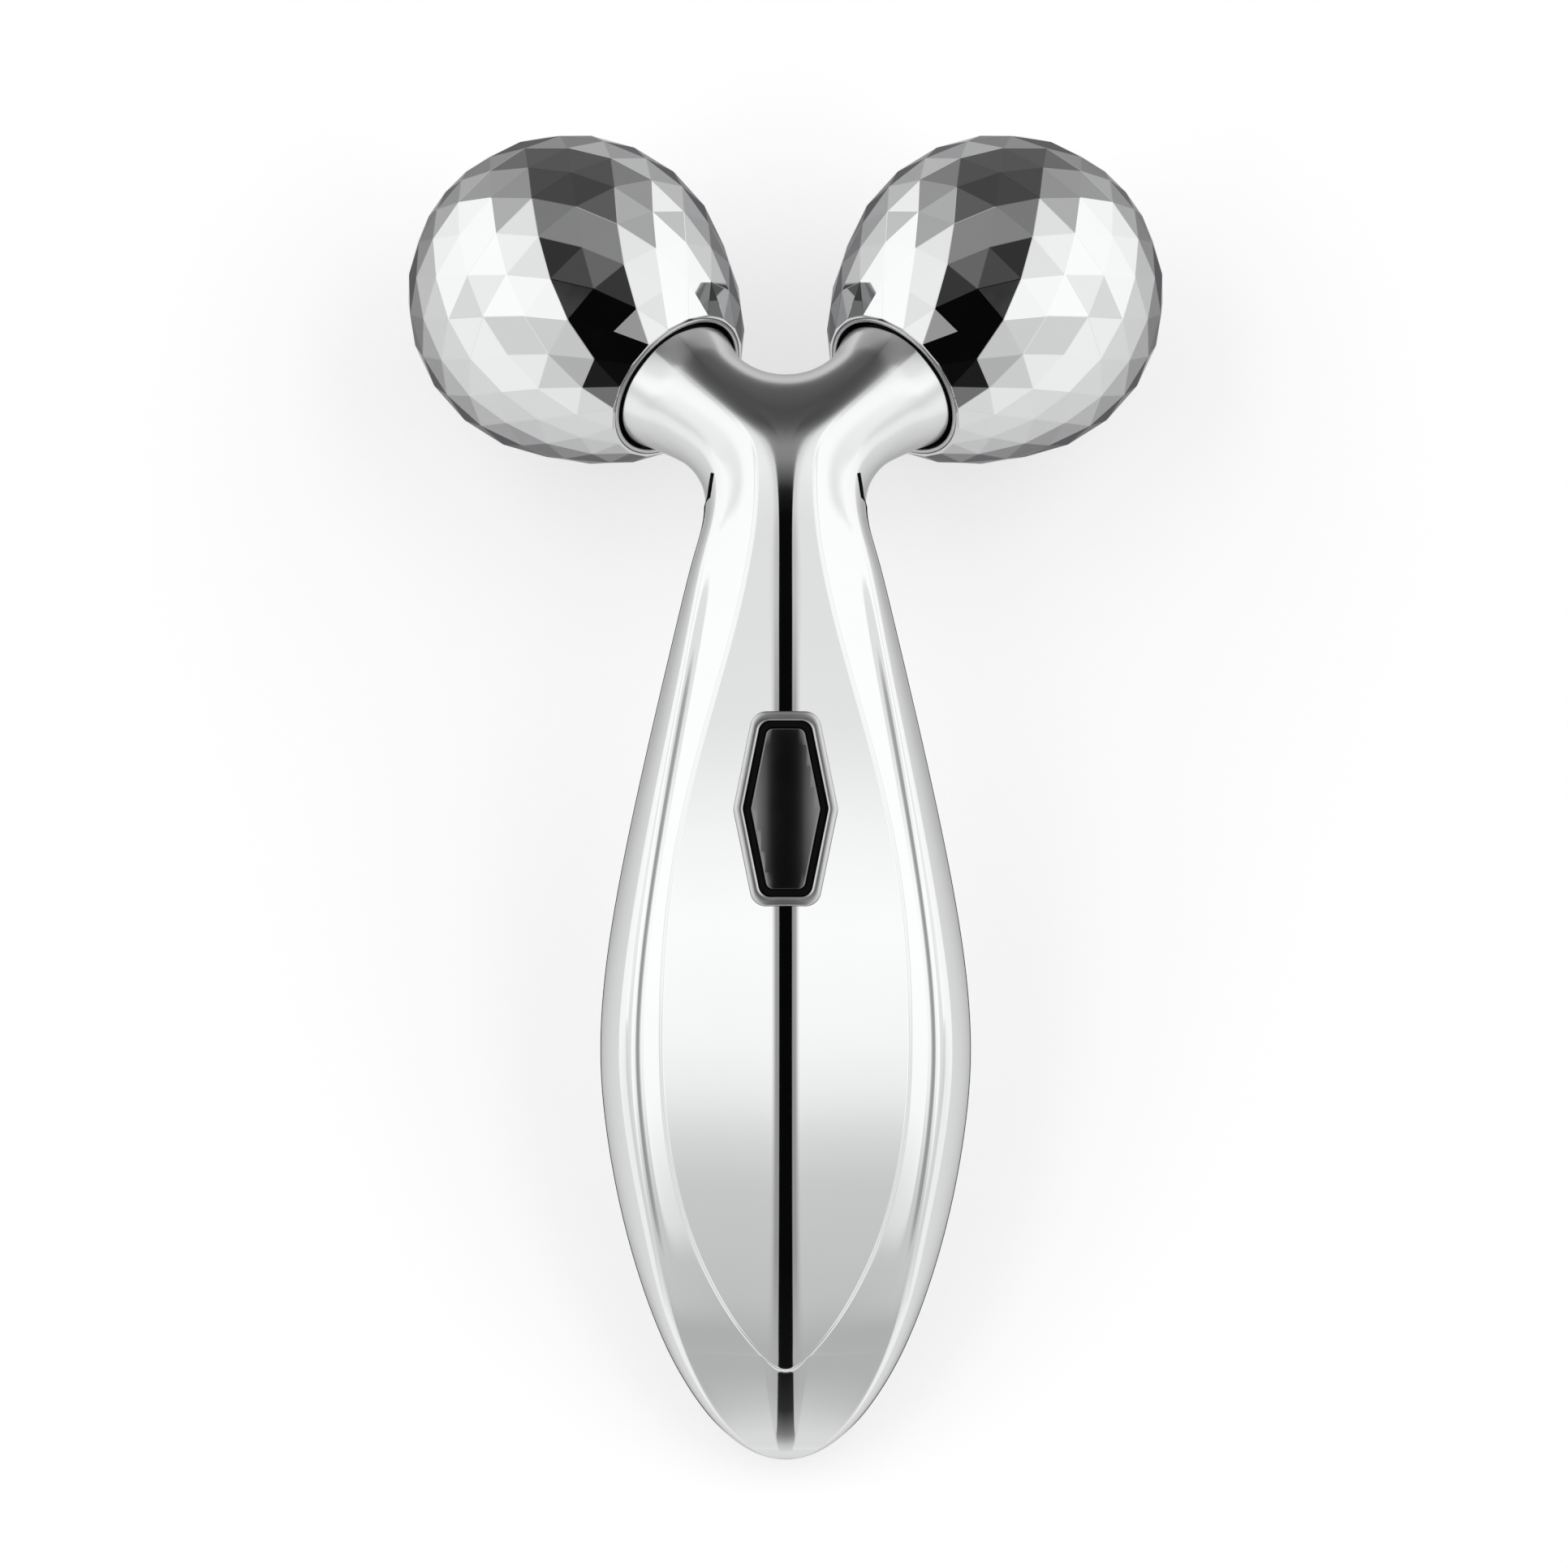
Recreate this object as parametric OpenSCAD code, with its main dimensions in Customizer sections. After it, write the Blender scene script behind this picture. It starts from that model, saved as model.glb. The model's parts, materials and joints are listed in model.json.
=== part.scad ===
// Two-ball facial roller: a Y-shaped handle with a solar window carries two
// faceted balls, each turning freely on its own axle.
// Frame: X to the right, Y from the tail towards the balls, Z up.
// The roller lies on a table with its window up, resting on both balls and the tail.

/* [Handle] */
// Distance from the tail tip to the crossing point of the axles
fork_y = 121.2; // [117:0.2:126]
// Largest half width of the handle
belly_half_w = 23; // [21:0.5:26]
// Distance from the tail tip to the widest place
belly_y = 49.9; // [46:0.1:54]
// Half width of the neck, level with the axle crossing
neck_half_w = 9; // [8.8:0.1:10]
// Length over which the belly rounds into the taper
belly_round = 19.2; // [16:0.2:23]
// Height of the front centre line above the axle crossing
crown_h = 13; // [12:0.1:14]
// Fall of the front centre line from its highest point to the axle crossing
neck_fall = 6.74; // [5.9:0.02:7]
// Height of the parting ridge above the axle crossing
ridge_h = 1.2; // [0.5:0.1:1.6]
// Depth of the rear below the ridge at the belly
rear_depth = 12.5; // [12:0.5:16]
// Depth of the rear below the ridge at the neck
rear_neck_depth = 9; // [8.5:0.5:11]
// Wall of the shells
wall = 1.6; // [1.2:0.1:1.9]

/* [Front leaf] */
// Largest half width of the inset leaf
leaf_half_w = 15.4; // [13:0.1:17]
// Half width of the leaf at the neck
leaf_neck_half_w = 3.6; // [3:0.1:4.5]
// Distance from the tail tip to the leaf's tip
leaf_tip_y = 11.1; // [10:0.1:14]
// Height of the step at the leaf's edge
leaf_step = 0.3; // [0.15:0.05:0.5]
// Slope of the leaf's two flanks
leaf_slope = 0.31; // [0.26:0.01:0.34]
// Rounding of the keel where the flanks meet
keel_round = 1.3; // [0.8:0.1:2]
// Place of the soft crease, as a share of the half width
crease_share = 0.8; // [0.76:0.01:0.84]

/* [Window] */
// Distance from the tail tip to the middle of the window
window_y = 80.3; // [76:0.1:84]
// Width of the bezel
bezel_w = 12.9; // [12:0.1:14]
// Length of the bezel
bezel_l = 24; // [22:0.1:27]
// Width of the bezel's flat ends
bezel_flat_w = 8; // [6:0.1:9]
// Width of the bright bezel ring
bezel_ring_w = 1.15; // [0.9:0.05:1.4]
// Width of the black gasket ring
gasket_w = 0.9; // [0.6:0.05:1.1]
// Height of the bezel's crown above the keel
bezel_proud = 0.2; // [0.1:0.05:0.5]
// Radius of the crown across the lens
lens_round = 16; // [14:0.5:20]
// Thickness of the lens at its edge
lens_t = 1.2; // [0.8:0.1:1.5]
// Thickness of the solar cell
cell_t = 1.1; // [0.8:0.1:1.4]

/* [Fork] */
// Angle between each axle and the middle plane
fork_half = 38.5; // [37:0.1:40]
// Lean of the fork towards the rear
fork_lean = 48.1; // [46:0.1:50]
// Radius of the arms
arm_r = 7.1; // [6.9:0.05:7.5]
// Radius of the flared arm ends
arm_end_r = 8.5; // [8.2:0.05:8.6]
// Height of the web in the crotch, from the axle crossing
crotch_reach = 17; // [16:0.1:17.5]

/* [Balls] */
// Distance from the axle crossing to a ball's centre
ball_reach = 42.9; // [42.5:0.1:46]
// Radius of the facet corners
ball_r = 20.1; // [19.6:0.1:21]
// Distance from a ball's centre to its mouth
mouth_h = 21.4; // [21.2:0.05:22]
// Radius of the facet corners at the mouth
mouth_r = 10.2; // [10.2:0.05:10.6]
// Number of facet corners round a ball
facet_count = 20; // [16:2:24]
// Steepness of the facet rows, in degrees from row to row
row_step = 13.6; // [13:0.1:14.2]
// Outer radius of the smooth rim ring
rim_r = 9.75; // [9.7:0.05:9.9]
// Wall of the rim ring
rim_wall = 0.6; // [0.4:0.05:0.7]
// Thinnest wall of the faceted skin
skin_wall = 1.75; // [1.4:0.05:2.2]

/* [Bearings] */
// Diameter of the axles
axle_d = 5; // [4:0.1:5.6]
// Radial running clearance between axle and bush
run_gap = 0.03; // [0.01:0.01:0.08]
// Outer radius of the bushes
bush_r = 4.5; // [4.2:0.1:5]
// Length of each bush
bush_l = 7; // [5:0.5:8]
// Thickness of the retaining clips
clip_t = 0.8; // [0.6:0.1:1.2]

/* [Inside] */
// Thickness of the inner frame's spine
spine_t = 3; // [2:0.1:3.4]
// Thickness of the circuit board
board_t = 1.2; // [0.8:0.1:1.6]
// Width of the circuit board
board_w = 16; // [12:0.5:18]
// Length of the circuit board
board_l = 36; // [28:1:40]
// Diameter of the screws' threads
screw_d = 2.4; // [2:0.1:2.8]
// Diameter of the leads
lead_d = 1.1; // [0.8:0.1:1.3]

/* [Hidden] */

round_fn = 64;   // smoothness of turned pieces
seat_gap = 0.03; // between pieces that are seated in each other
press_gap = 0.01; // between pieces that are pressed together
LEFT = -1;
RIGHT = 1;

// ---------------------------------------------------------------- helpers

function clamp01(t) = max(0, min(1, t));
function lerp(a, b, t) = a + (b - a) * t;
function ease(t) = let (c = clamp01(t)) c * c * (3 - 2 * c);
function unit(v) = v / norm(v);
function flip_x(p) = [p[0] == 0 ? 0 : -p[0], p[1], p[2]];

// Cubic curve from p to q that leaves along u and arrives along v
function hermite(p, q, u, v, t) =
    (2 * t * t * t - 3 * t * t + 1) * p + (t * t * t - 2 * t * t + t) * u
    + (3 * t * t - 2 * t * t * t) * q + (t * t * t - t * t) * v;

// Two triangles of a four-sided patch, leaving out any that has no area
function patch(a, b, c, d) = [
    for (f = [[a, b, c], [a, c, d]])
        if (f[0] != f[1] && f[1] != f[2] && f[2] != f[0]) f];
function turned(faces) = [for (f = faces) [f[0], f[2], f[1]]];
function mirrored(faces) = [for (f = faces) [flip_x(f[0]), flip_x(f[2]), flip_x(f[1])]];

// Patches between two rows of points, and along a list of rows
function strip(p, q) = [for (k = [0 : len(p) - 2]) each patch(p[k], p[k + 1], q[k + 1], q[k])];
function sheet(rows) = [for (k = [0 : len(rows) - 2]) each strip(rows[k], rows[k + 1])];
function column(rows, j) = [for (row = rows) row[j]];
function pick(row, ids) = [for (j = ids) row[j]];

// A closed solid from triangles that are given anticlockwise from outside
module solid_of(faces) {
    polyhedron(points = [for (f = faces) each f],
        faces = [for (k = [0 : len(faces) - 1]) [3 * k, 3 * k + 2, 3 * k + 1]]);
}

// A closed ring that joins loops of equal length, the last back to the first
function ring_faces(loops) = [
    for (k = [0 : len(loops) - 1])
        let (a = loops[k], b = loops[(k + 1) % len(loops)])
        each strip([each a, a[0]], [each b, b[0]])];

// A polygon with each corner rounded by its own arc of four steps
function rounded(points, r) = [
    for (k = [0 : len(points) - 1])
        let (n = len(points), p = points[k],
            u = unit(points[(k + n - 1) % n] - p), v = unit(points[(k + 1) % n] - p),
            half = acos(u * v) / 2, centre = p + unit(u + v) * r / sin(half))
        for (s = [0 : 4])
            let (from = unit((p + u * r / tan(half)) - centre),
                to = unit((p + v * r / tan(half)) - centre),
                w = lerp(from, to, s / 4))
            centre + unit(w) * r];

// ---------------------------------------------------------------- fork

fork_mid = [0, cos(fork_lean), -sin(fork_lean)];
fork_up = [0, sin(fork_lean), cos(fork_lean)];
fork_pt = [0, fork_y, 0];
arm_dir = [sin(fork_half), 0, 0] + cos(fork_half) * fork_mid;
arm_out = [cos(fork_half), 0, 0] - sin(fork_half) * fork_mid;
facet_turn = atan2(sin(fork_half) * sin(fork_lean), cos(fork_lean));

// Puts a piece that is made round +Z, with the ball's centre at the origin
// and the mouth towards -Z, on the left or right arm
module on_arm(side)
    translate(fork_pt)
    rotate([-90 - fork_lean, 0, 0])
    rotate([0, side * fork_half, 0])
    translate([0, 0, ball_reach])
    children();

// ---------------------------------------------------------------- handle surface

tail_power = 1.6;         // outline of the tail, 2 being an ellipse
front_tail_power = 6;     // how late the front rounds down at the tail
rear_tail_power = 3;      // how late the rear rounds up at the tail
bow_y = 62;               // the front is level here
bow_r = pow(fork_y - bow_y, 2) / (2 * neck_fall);
ridge_bow_r = 1630;
border_fall = 0.55;       // share of the height that a wide border falls
border_rate = 3.6;        // how soon a border reaches that share
flank_bend = [0.55, 0.56]; // middle of the flank's curve, as shares
bevel_w = 0.2;            // half the width of the leaf's step line
tip_sag = 1.8;            // the leaf's tip is a rounded V of this depth
tip_reach = 9;
neck_y = fork_y - 11;     // the last level section of the handle
oblique = 1.25;           // a wall's width where it meets the parting face
arm_start = 17.2;         // the arms are round from here on
arm_stop = ball_reach - mouth_h - 0.05;
flare_power = 5;
web_front = 7.2;          // half height of the crotch web, front and rear
web_rear = 7.3;
web_rear_reach = 11.2;

function tail_u(y) = clamp01(1 - y / belly_y);
function tail_round(y, power) = sqrt(max(0, 1 - pow(tail_u(y), power)));
function belly_run(y) = norm([y - belly_y, belly_round]) - belly_round;
taper = (belly_half_w - neck_half_w) / belly_run(fork_y);
function half_w(y) = y < belly_y ? belly_half_w * tail_round(y, tail_power)
    : belly_half_w - taper * belly_run(y);
// Fall of the leaf from the keel to the distance x
function leaf_fall(x) = leaf_slope * (x - keel_round * (1 - exp(-x / keel_round)));
function crown_z(y) = crown_h - pow(y - bow_y, 2) / (2 * bow_r);
function ridge_z(y) = ridge_h - pow(y - bow_y, 2) / (2 * ridge_bow_r);
function rear_d(y) = tail_round(y, rear_tail_power)
    * lerp(rear_depth, rear_neck_depth, ease((y - belly_y) / (neck_y - belly_y)));

// Half width of the leaf: a rounded V below the belly, an eased taper above it
leaf_low_y = leaf_tip_y + tip_sag;
leaf_low_w = 2.6;
function leaf_w(y) =
    y > belly_y ? lerp(leaf_half_w, leaf_neck_half_w,
        (1 - cos(180 * pow(clamp01((y - belly_y) / (fork_y - belly_y)), 1.3))) / 2)
    : y > leaf_low_y ? max(leaf_low_w, leaf_half_w
        * pow(1 - pow((belly_y - y) / (belly_y - leaf_tip_y), 2.15), 0.75))
    : leaf_low_w * half_w(y) / half_w(leaf_low_y);

// Points 0 to 14 of a half section, from the front's middle over the leaf's
// edge (3, 4), the crease (6) and the ridge (8) to the rear's middle.
// d sinks the surface by a wall; step raises the leaf.
function section(y, d, step) =
    let (sag = tip_sag * clamp01(1 - abs(y - leaf_tip_y) / tip_reach),
        y_leaf = y + sag, y_ridge = y + 1.3 * sag,
        top = (crown_z(y) - ridge_z(y)) * tail_round(y, front_tail_power) - d,
        w = half_w(y_ridge) - oblique * d,
        x1 = min(leaf_w(y_leaf), 0.7 * w), xc = crease_share * w,
        h1 = top - leaf_fall(x1),
        hc = h1 * (1 - border_fall * (1 - exp(-border_rate * (xc - x1) / w))),
        bend = [lerp(xc, w, flank_bend[0]), hc * flank_bend[1]],
        rise = d == 0 ? step : 0,
        base = ridge_z(y_ridge), deep = rear_d(y_ridge) - d)
    [
        for (t = [0, 0.25, 0.62, 1]) let (x = t * x1)
            [t == 1 ? x - bevel_w : x, y + t * t * sag, base + top - leaf_fall(x) + rise],
        [x1 + bevel_w, y_leaf, base + h1],
        [lerp(x1, xc, 0.5), lerp(y_leaf, y_ridge, 0.4), base + lerp(h1, hc, 0.5)],
        [xc, lerp(y_leaf, y_ridge, 0.7), base + hc],
        [0.25 * xc + 0.5 * bend[0] + 0.25 * w, lerp(y_leaf, y_ridge, 0.9),
            base + 0.25 * hc + 0.5 * bend[1]],
        for (k = [0 : 6]) let (a = 15 * k)
            [k == 6 ? 0 : w * cos(a), lerp(y_ridge, y, k / 6), base - deep * sin(a)]
    ];

// Angles of the same points round an arm, then those on its inner side
arm_angles = [0, 7.5, 15, 22, 24, 40, 58, 75, 90, 105, 120, 135, 150, 165, 180,
    195, 210, 225, 240, 255, 270, 285, 300, 315, 330, 345];
RIDGE = 8;
REAR_MID = 14;
CROTCH_TOP = 20;

// The loop where handle, left arm and right arm meet: its outer half runs
// round the neck and its inner half lies in the middle plane
function fork_loop(d) =
    let (up = web_front - d, down = web_rear - d, tip = crotch_reach - d,
        front = fork_pt + up * fork_up,
        rear = fork_pt + web_rear_reach * fork_mid - down * fork_up,
        mid = (front + rear) / 2,
        side = fork_pt + [half_w(fork_y - 1.5) + 0.6 - oblique * d, -1.4, -4])
    [for (k = [0 : len(arm_angles) - 1])
        let (a = arm_angles[k])
        a <= 180
            ? let (p = mid + cos(a) * (front - rear) / 2 + sin(a) * (side - mid))
                [a == 180 || a == 0 ? 0 : p[0], p[1], p[2]]
            : fork_pt + fork_up * cos(a) * (a < 270 ? down : up)
                + fork_mid * (a < 270 ? lerp(web_rear_reach, tip, -sin(a)) : -sin(a) * tip)];

// A round section of the arm at the distance s from the axle crossing
function arm_radius(s) =
    lerp(arm_r, arm_end_r, pow(clamp01((s - arm_start) / (arm_stop - arm_start)), flare_power));
function arm_ring(s, d) = [for (a = arm_angles)
    fork_pt + s * arm_dir + (arm_radius(s) - d) * (cos(a) * fork_up + sin(a) * arm_out)];

// Distances from the tail tip of the handle's level sections
leaf_rows = 13;
section_ys = [
    for (f = [0.008, 0.03, 0.07, 0.12, 0.17]) f * belly_y,
    leaf_tip_y,
    for (k = [0 : leaf_rows]) lerp(leaf_tip_y + 0.4, neck_y, k / leaf_rows)];
tail_rows = 7; // sections, the tip among them, that stay solid
blend_steps = [1 / 3, 2 / 3];
arm_steps = [0.45, 0.7, 0.87, 1];

// Every section from the tail tip to the arm's end
function level_rows(d) = [
    [for (j = [0 : REAR_MID]) [0, 0, ridge_z(0)]],
    for (y = section_ys) section(y, d, y > leaf_tip_y ? leaf_step : 0)];
function tail_core(y) = [0, y, ridge_z(y)];
function handle_rows(d) =
    let (rows = level_rows(d), count = len(rows),
        a = rows[count - 2], b = rows[count - 1], c = fork_loop(d), e = arm_ring(arm_start, d))
    [
        for (k = [0 : count - 1])
            d > 0 && k < tail_rows ? [for (p = rows[k]) tail_core(rows[k][0][1])] : rows[k],
        for (t = blend_steps) [for (j = [0 : REAR_MID])
            let (gap = norm(c[j] - b[j]),
                go = unit(e[j] - b[j]) * gap,
                end = j == 0 || j == REAR_MID ? unit([0, go[1], go[2]]) * gap : go,
                p = hermite(b[j], c[j], unit(b[j] - a[j]) * gap, end, t))
            [j == 0 || j == REAR_MID ? 0 : p[0], p[1], p[2]]],
        pick(c, [for (j = [0 : REAR_MID]) j])
    ];
function arm_rows(d) =
    let (b = fork_loop(d), e = arm_ring(arm_start, d),
        a = section(neck_y, d, 0))
    [
        b,
        for (t = blend_steps) [for (j = [0 : len(arm_angles) - 1])
            let (gap = norm(e[j] - b[j]),
                leave = j <= REAR_MID ? unit(e[j] - a[j]) * gap : [gap, 0, 0])
            hermite(b[j], e[j], leave, arm_dir * gap, t)],
        e,
        for (t = arm_steps) arm_ring(lerp(arm_start, arm_stop, t), d)
    ];

// One shell of the handle: an outer and an inner sheet over the same columns,
// joined along the parting faces and at the arm's end. ids are the columns on
// the handle and arm_ids those round the arm, both anticlockwise from outside.
function half_shell(ids, arm_ids, seam_first) =
    let (ho = handle_rows(0), hi = handle_rows(wall), ao = arm_rows(0), ai = arm_rows(wall),
        handle_out = [for (r = ho) pick(r, ids)], handle_in = [for (r = hi) pick(r, ids)],
        arm_out_rows = [for (r = ao) pick(r, arm_ids)],
        arm_in_rows = [for (r = ai) pick(r, arm_ids)],
        last = len(ao) - 1,
        seam_out = [each column(ho, RIDGE), for (k = [1 : last]) ao[k][RIDGE]],
        seam_in = [each column(hi, RIDGE), for (k = [1 : last]) ai[k][RIDGE]],
        parting = concat(strip(seam_in, seam_out),
            strip(column(ao, CROTCH_TOP), column(ai, CROTCH_TOP))))
    concat(
        sheet(handle_out), turned(sheet(handle_in)),
        sheet(arm_out_rows), turned(sheet(arm_in_rows)),
        seam_first ? turned(parting) : parting,
        strip(arm_out_rows[last], arm_in_rows[last]));

module whole_shell(ids, arm_ids, seam_first) {
    faces = half_shell(ids, arm_ids, seam_first);
    solid_of(concat(faces, mirrored(faces)));
}

// ---------------------------------------------------------------- window shape

// Heights of the window's pieces are taken from the leaf's keel at the
// window's middle, where its plane touches the bow
window_tilt = -atan((window_y - bow_y) / bow_r);
bezel_round = 2;
bezel_top = bezel_proud;
bezel_bevel = 0.2;
lens_top = bezel_top - 0.3;
gasket_in = bezel_ring_w;
lens_in = bezel_ring_w + gasket_w;
// Fall of the window's crown from its middle to the distance x
function lens_fall(x) = lens_round - sqrt(pow(lens_round, 2) - x * x);
lens_floor = lens_top - lens_fall(bezel_w / 2 - gasket_in) - lens_t;
cell_floor = lens_floor - cell_t;
skirt_floor = cell_floor - 0.8;
ledge_w = 0.8;            // the ledge that the cell sits on

// The bezel's outline, drawn in by the distance d
function lozenge(d, r) =
    let (w = bezel_w / 2, l = bezel_l / 2, f = bezel_flat_w / 2,
        side = unit([l, w - f]), tip = w - d / side[0],
        flat = (side[0] * w - d - side[1] * (l - d)) / side[0])
    rounded([[tip, 0], [flat, l - d], [-flat, l - d], [-tip, 0], [-flat, d - l], [flat, d - l]], r);
function lozenge_loop(d, r, z) = [for (p = lozenge(d, r)) [p[0], p[1], z]];
// The same outline at a height above the leaf's flanks, and above the crown
function lozenge_on_leaf(d, r, height) = [for (p = lozenge(d, r))
    [p[0], p[1], height - p[1] * p[1] / (2 * bow_r) - leaf_fall(abs(p[0]))]];
function lozenge_on_crown(d, r, height) = [for (p = lozenge(d, r))
    [p[0], p[1], height - lens_fall(p[0])]];
module lozenge_block(d, r, z0, z1)
    translate([0, 0, z0]) linear_extrude(z1 - z0) polygon(lozenge(d, r));
module on_window()
    translate([0, window_y, crown_z(window_y) + leaf_step]) rotate([window_tilt, 0, 0]) children();

// ---------------------------------------------------------------- inner layout

spine_top = -0.5;
spine_floor = spine_top - spine_t;
spine_margin = 5;         // from the outline to the spine's edge
board_floor = 2;
board_mid_y = 78;
lead_start_y = 91.2;      // where the leads leave their connectors
board_screw_y = [board_mid_y - board_l / 2 + 3, board_mid_y + board_l / 2 - 3];
frame_screw_at = [[6, 34], [5, 98]];
boss_r = 3;
socket_r = arm_r - wall - 0.8;
hub_r = socket_r + 0.6;
hub_sink = 1.2;           // the hub's centre lies this far below the axles' crossing
socket_start = 1.2;
socket_stop = arm_stop - 1.6;
axle_start = 4.5;         // from the axle crossing
end_pocket = 0.9;         // room for the soldered lead behind an axle
lead_r = lead_d / 2;
lead_room = 0.25;         // round a lead in its hole
lead_lean = [0, -0.78, 0.63]; // way of a lead's hole out of the hub
lead_end = fork_pt + (axle_start - 0.4) * arm_dir;
lead_exit = lead_end + 8.6 * lead_lean;

// A round bar between two points
module rod(p, q, r)
    let (v = q - p)
    translate(p) rotate([0, acos(v[2] / norm(v)), atan2(v[1], v[0])])
    cylinder(r = r, h = norm(v), $fn = round_fn);

function rear_inner_z(p) =
    let (share = p[0] / (half_w(p[1]) - oblique * wall))
    ridge_z(p[1]) - (rear_d(p[1]) - wall) * sqrt(1 - share * share);

// ---------------------------------------------------------------- ball layout, along the arm's Z

mouth_z = -mouth_h;
rim_lip = 0.15;
cap_gap = 0.05;
cap_flange_t = 1.2;
cap_flange_r = 8.2;
nose_r = 5.5;
nose_stop = mouth_z + 5.2;
core_front = mouth_z + 5.2;
bush_flange_r = 6.2;
bush_flange_t = 1.4;
end_play = 0.15;          // between faces that turn past each other
cavity_r = ball_r * cos(180 / facet_count) - skin_wall;
inner_bush_z = nose_stop + end_play;
outer_bush_z = 1.5;
clip_z = outer_bush_z + bush_l + end_play;
clip_r = 4.1;
groove_r = axle_d / 2 - 0.45;
axle_stop = clip_z + clip_t + 1.2;
bore_stop = axle_stop + 0.8;
seal_z = mouth_z + cap_flange_t + 0.25;
seal_t = 1.1;
seal_gap = 0.3;

// ---------------------------------------------------------------- ball facets

rows_to_pole = 10;
first_row_angle = 36;     // from the mouth's direction, at the ball's centre
neck_angle = 62;          // the ball is a plain sphere beyond this
neck_power = 1.3;
mouth_angle = atan2(mouth_r, mouth_h);
mouth_reach = norm([mouth_r, mouth_h]);

// Distance of a facet corner from the ball's centre, by its angle from the mouth
function corner_reach(a) = ball_r + (mouth_reach - ball_r)
    * pow(clamp01((neck_angle - a) / (neck_angle - mouth_angle)), neck_power);
row_angles = [mouth_angle, for (k = [0 : rows_to_pole - 1]) first_row_angle + k * row_step];
function facet_row(k, turn) = [for (j = [0 : facet_count - 1])
    let (a = row_angles[k], r = corner_reach(a), w = turn + (j + (k % 2 == 0 ? 0.5 : 0)) * 360 / facet_count)
    [r * sin(a) * cos(w), r * sin(a) * sin(w), -r * cos(a)]];

// Triangles between two rows of corners that are half a step apart
function facet_band(p, q, shifted) = [for (j = [0 : len(p) - 1])
    let (n = (j + 1) % len(p))
    each (shifted
        ? [[p[j], q[n], q[j]], [p[j], p[n], q[n]]]
        : [[p[j], p[n], q[j]], [p[n], q[n], q[j]]])];
function fan(row, centre) = [for (j = [0 : len(row) - 1]) [row[j], row[(j + 1) % len(row)], centre]];

// Two last rows with half as many corners close the far end
function halved(row) = [for (j = [0 : len(row) / 2 - 1]) row[2 * j]];
function far_row(turn) = let (row = facet_row(len(row_angles) - 1, turn)) halved(row);

function ball_faces(turn) =
    let (count = len(row_angles), rows = [for (k = [0 : count - 2]) facet_row(k, turn)],
        last = rows[count - 2], half = far_row(turn), n = len(half),
        pole = [0, 0, ball_r])
    concat(
        turned(fan(rows[0], [0, 0, mouth_z])),
        [for (k = [0 : count - 3]) each facet_band(rows[k], rows[k + 1], k % 2 == 0)],
        [for (j = [0 : n - 1]) let (m = (j + 1) % n) each [
            [last[2 * j], last[2 * j + 1], half[j]],
            [last[2 * j + 1], half[m], half[j]],
            [last[2 * j + 1], last[(2 * j + 2) % len(last)], half[m]]]],
        fan(half, pole));

// ---------------------------------------------------------------- resting pose

// Turns a point of the arm's frame into the handle's frame
function from_arm(side, p) =
    let (s = side * fork_half, x = [cos(s), 0, 0] - sin(s) * fork_mid,
        z = [sin(s), 0, 0] + cos(s) * fork_mid)
    fork_pt + p[0] * x - p[1] * fork_up + (p[2] + ball_reach) * z;
function facet_phase(side) = -90 + side * facet_turn;

// Turning about X by t lifts the balls' end; the tail and the balls are level
// where their lowest points have the same height
function lift(p, t) = p[1] * sin(t) + p[2] * cos(t);
ball_points = [for (k = [0 : len(row_angles) - 1])
    for (p = facet_row(k, facet_phase(RIGHT))) from_arm(RIGHT, p)];
tail_points = [for (row = handle_rows(0)) row[REAR_MID]];
function gap_at(t) = min([for (p = ball_points) lift(p, t)]) - min([for (p = tail_points) lift(p, t)]);
function level_angle(low, high, steps) =
    let (mid = (low + high) / 2)
    steps == 0 ? mid
    : gap_at(mid) < 0 ? level_angle(mid, high, steps - 1) : level_angle(low, mid, steps - 1);
rest_tilt = level_angle(0, 40, 24);
rest_z = -min([for (p = ball_points) lift(p, rest_tilt)]);
function along(p) = p[1] * cos(rest_tilt) - p[2] * sin(rest_tilt);
front_points = [for (row = handle_rows(0)) row[0]];
far_y = max([for (p = ball_points) along(p)]);
near_y = min([for (p = concat(tail_points, front_points)) along(p)]);

module at_rest()
    translate([0, -(far_y + near_y) / 2, rest_z]) rotate([rest_tilt, 0, 0]) children();

// ---------------------------------------------------------------- handle pieces

module front_shell()
    color("gainsboro") at_rest() difference() {
        whole_shell([for (j = [0 : RIDGE]) j],
            [for (j = [CROTCH_TOP : len(arm_angles) - 1]) j, for (j = [0 : RIDGE]) j], false);
        on_window() lozenge_block(-seat_gap, bezel_round, -2 * leaf_fall(bezel_w), 2);
    }

module rear_shell()
    color("silver") at_rest() difference() {
        union() {
            whole_shell([for (j = [RIDGE : REAR_MID]) j],
                [for (j = [RIDGE : CROTCH_TOP]) j], true);
            for (p = frame_screw_at, side = [LEFT, RIGHT])
                let (floor = rear_inner_z(p) - wall / 2)
                translate([side * p[0], p[1], floor])
                cylinder(r = boss_r, h = spine_floor - floor, $fn = round_fn);
        }
        for (p = frame_screw_at, side = [LEFT, RIGHT])
            translate([side * p[0], p[1], rear_inner_z(p) + 1])
            cylinder(d = screw_d + 2 * seat_gap, h = 20, $fn = round_fn);
    }

// Half width of the frame's spine, inside the shells
function spine_half_w(y) = min(12, half_w(y) - wall - spine_margin);
spine_ys = [22, 28, 36, 50, 64, 78, 92, 104, fork_y - 4];

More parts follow.
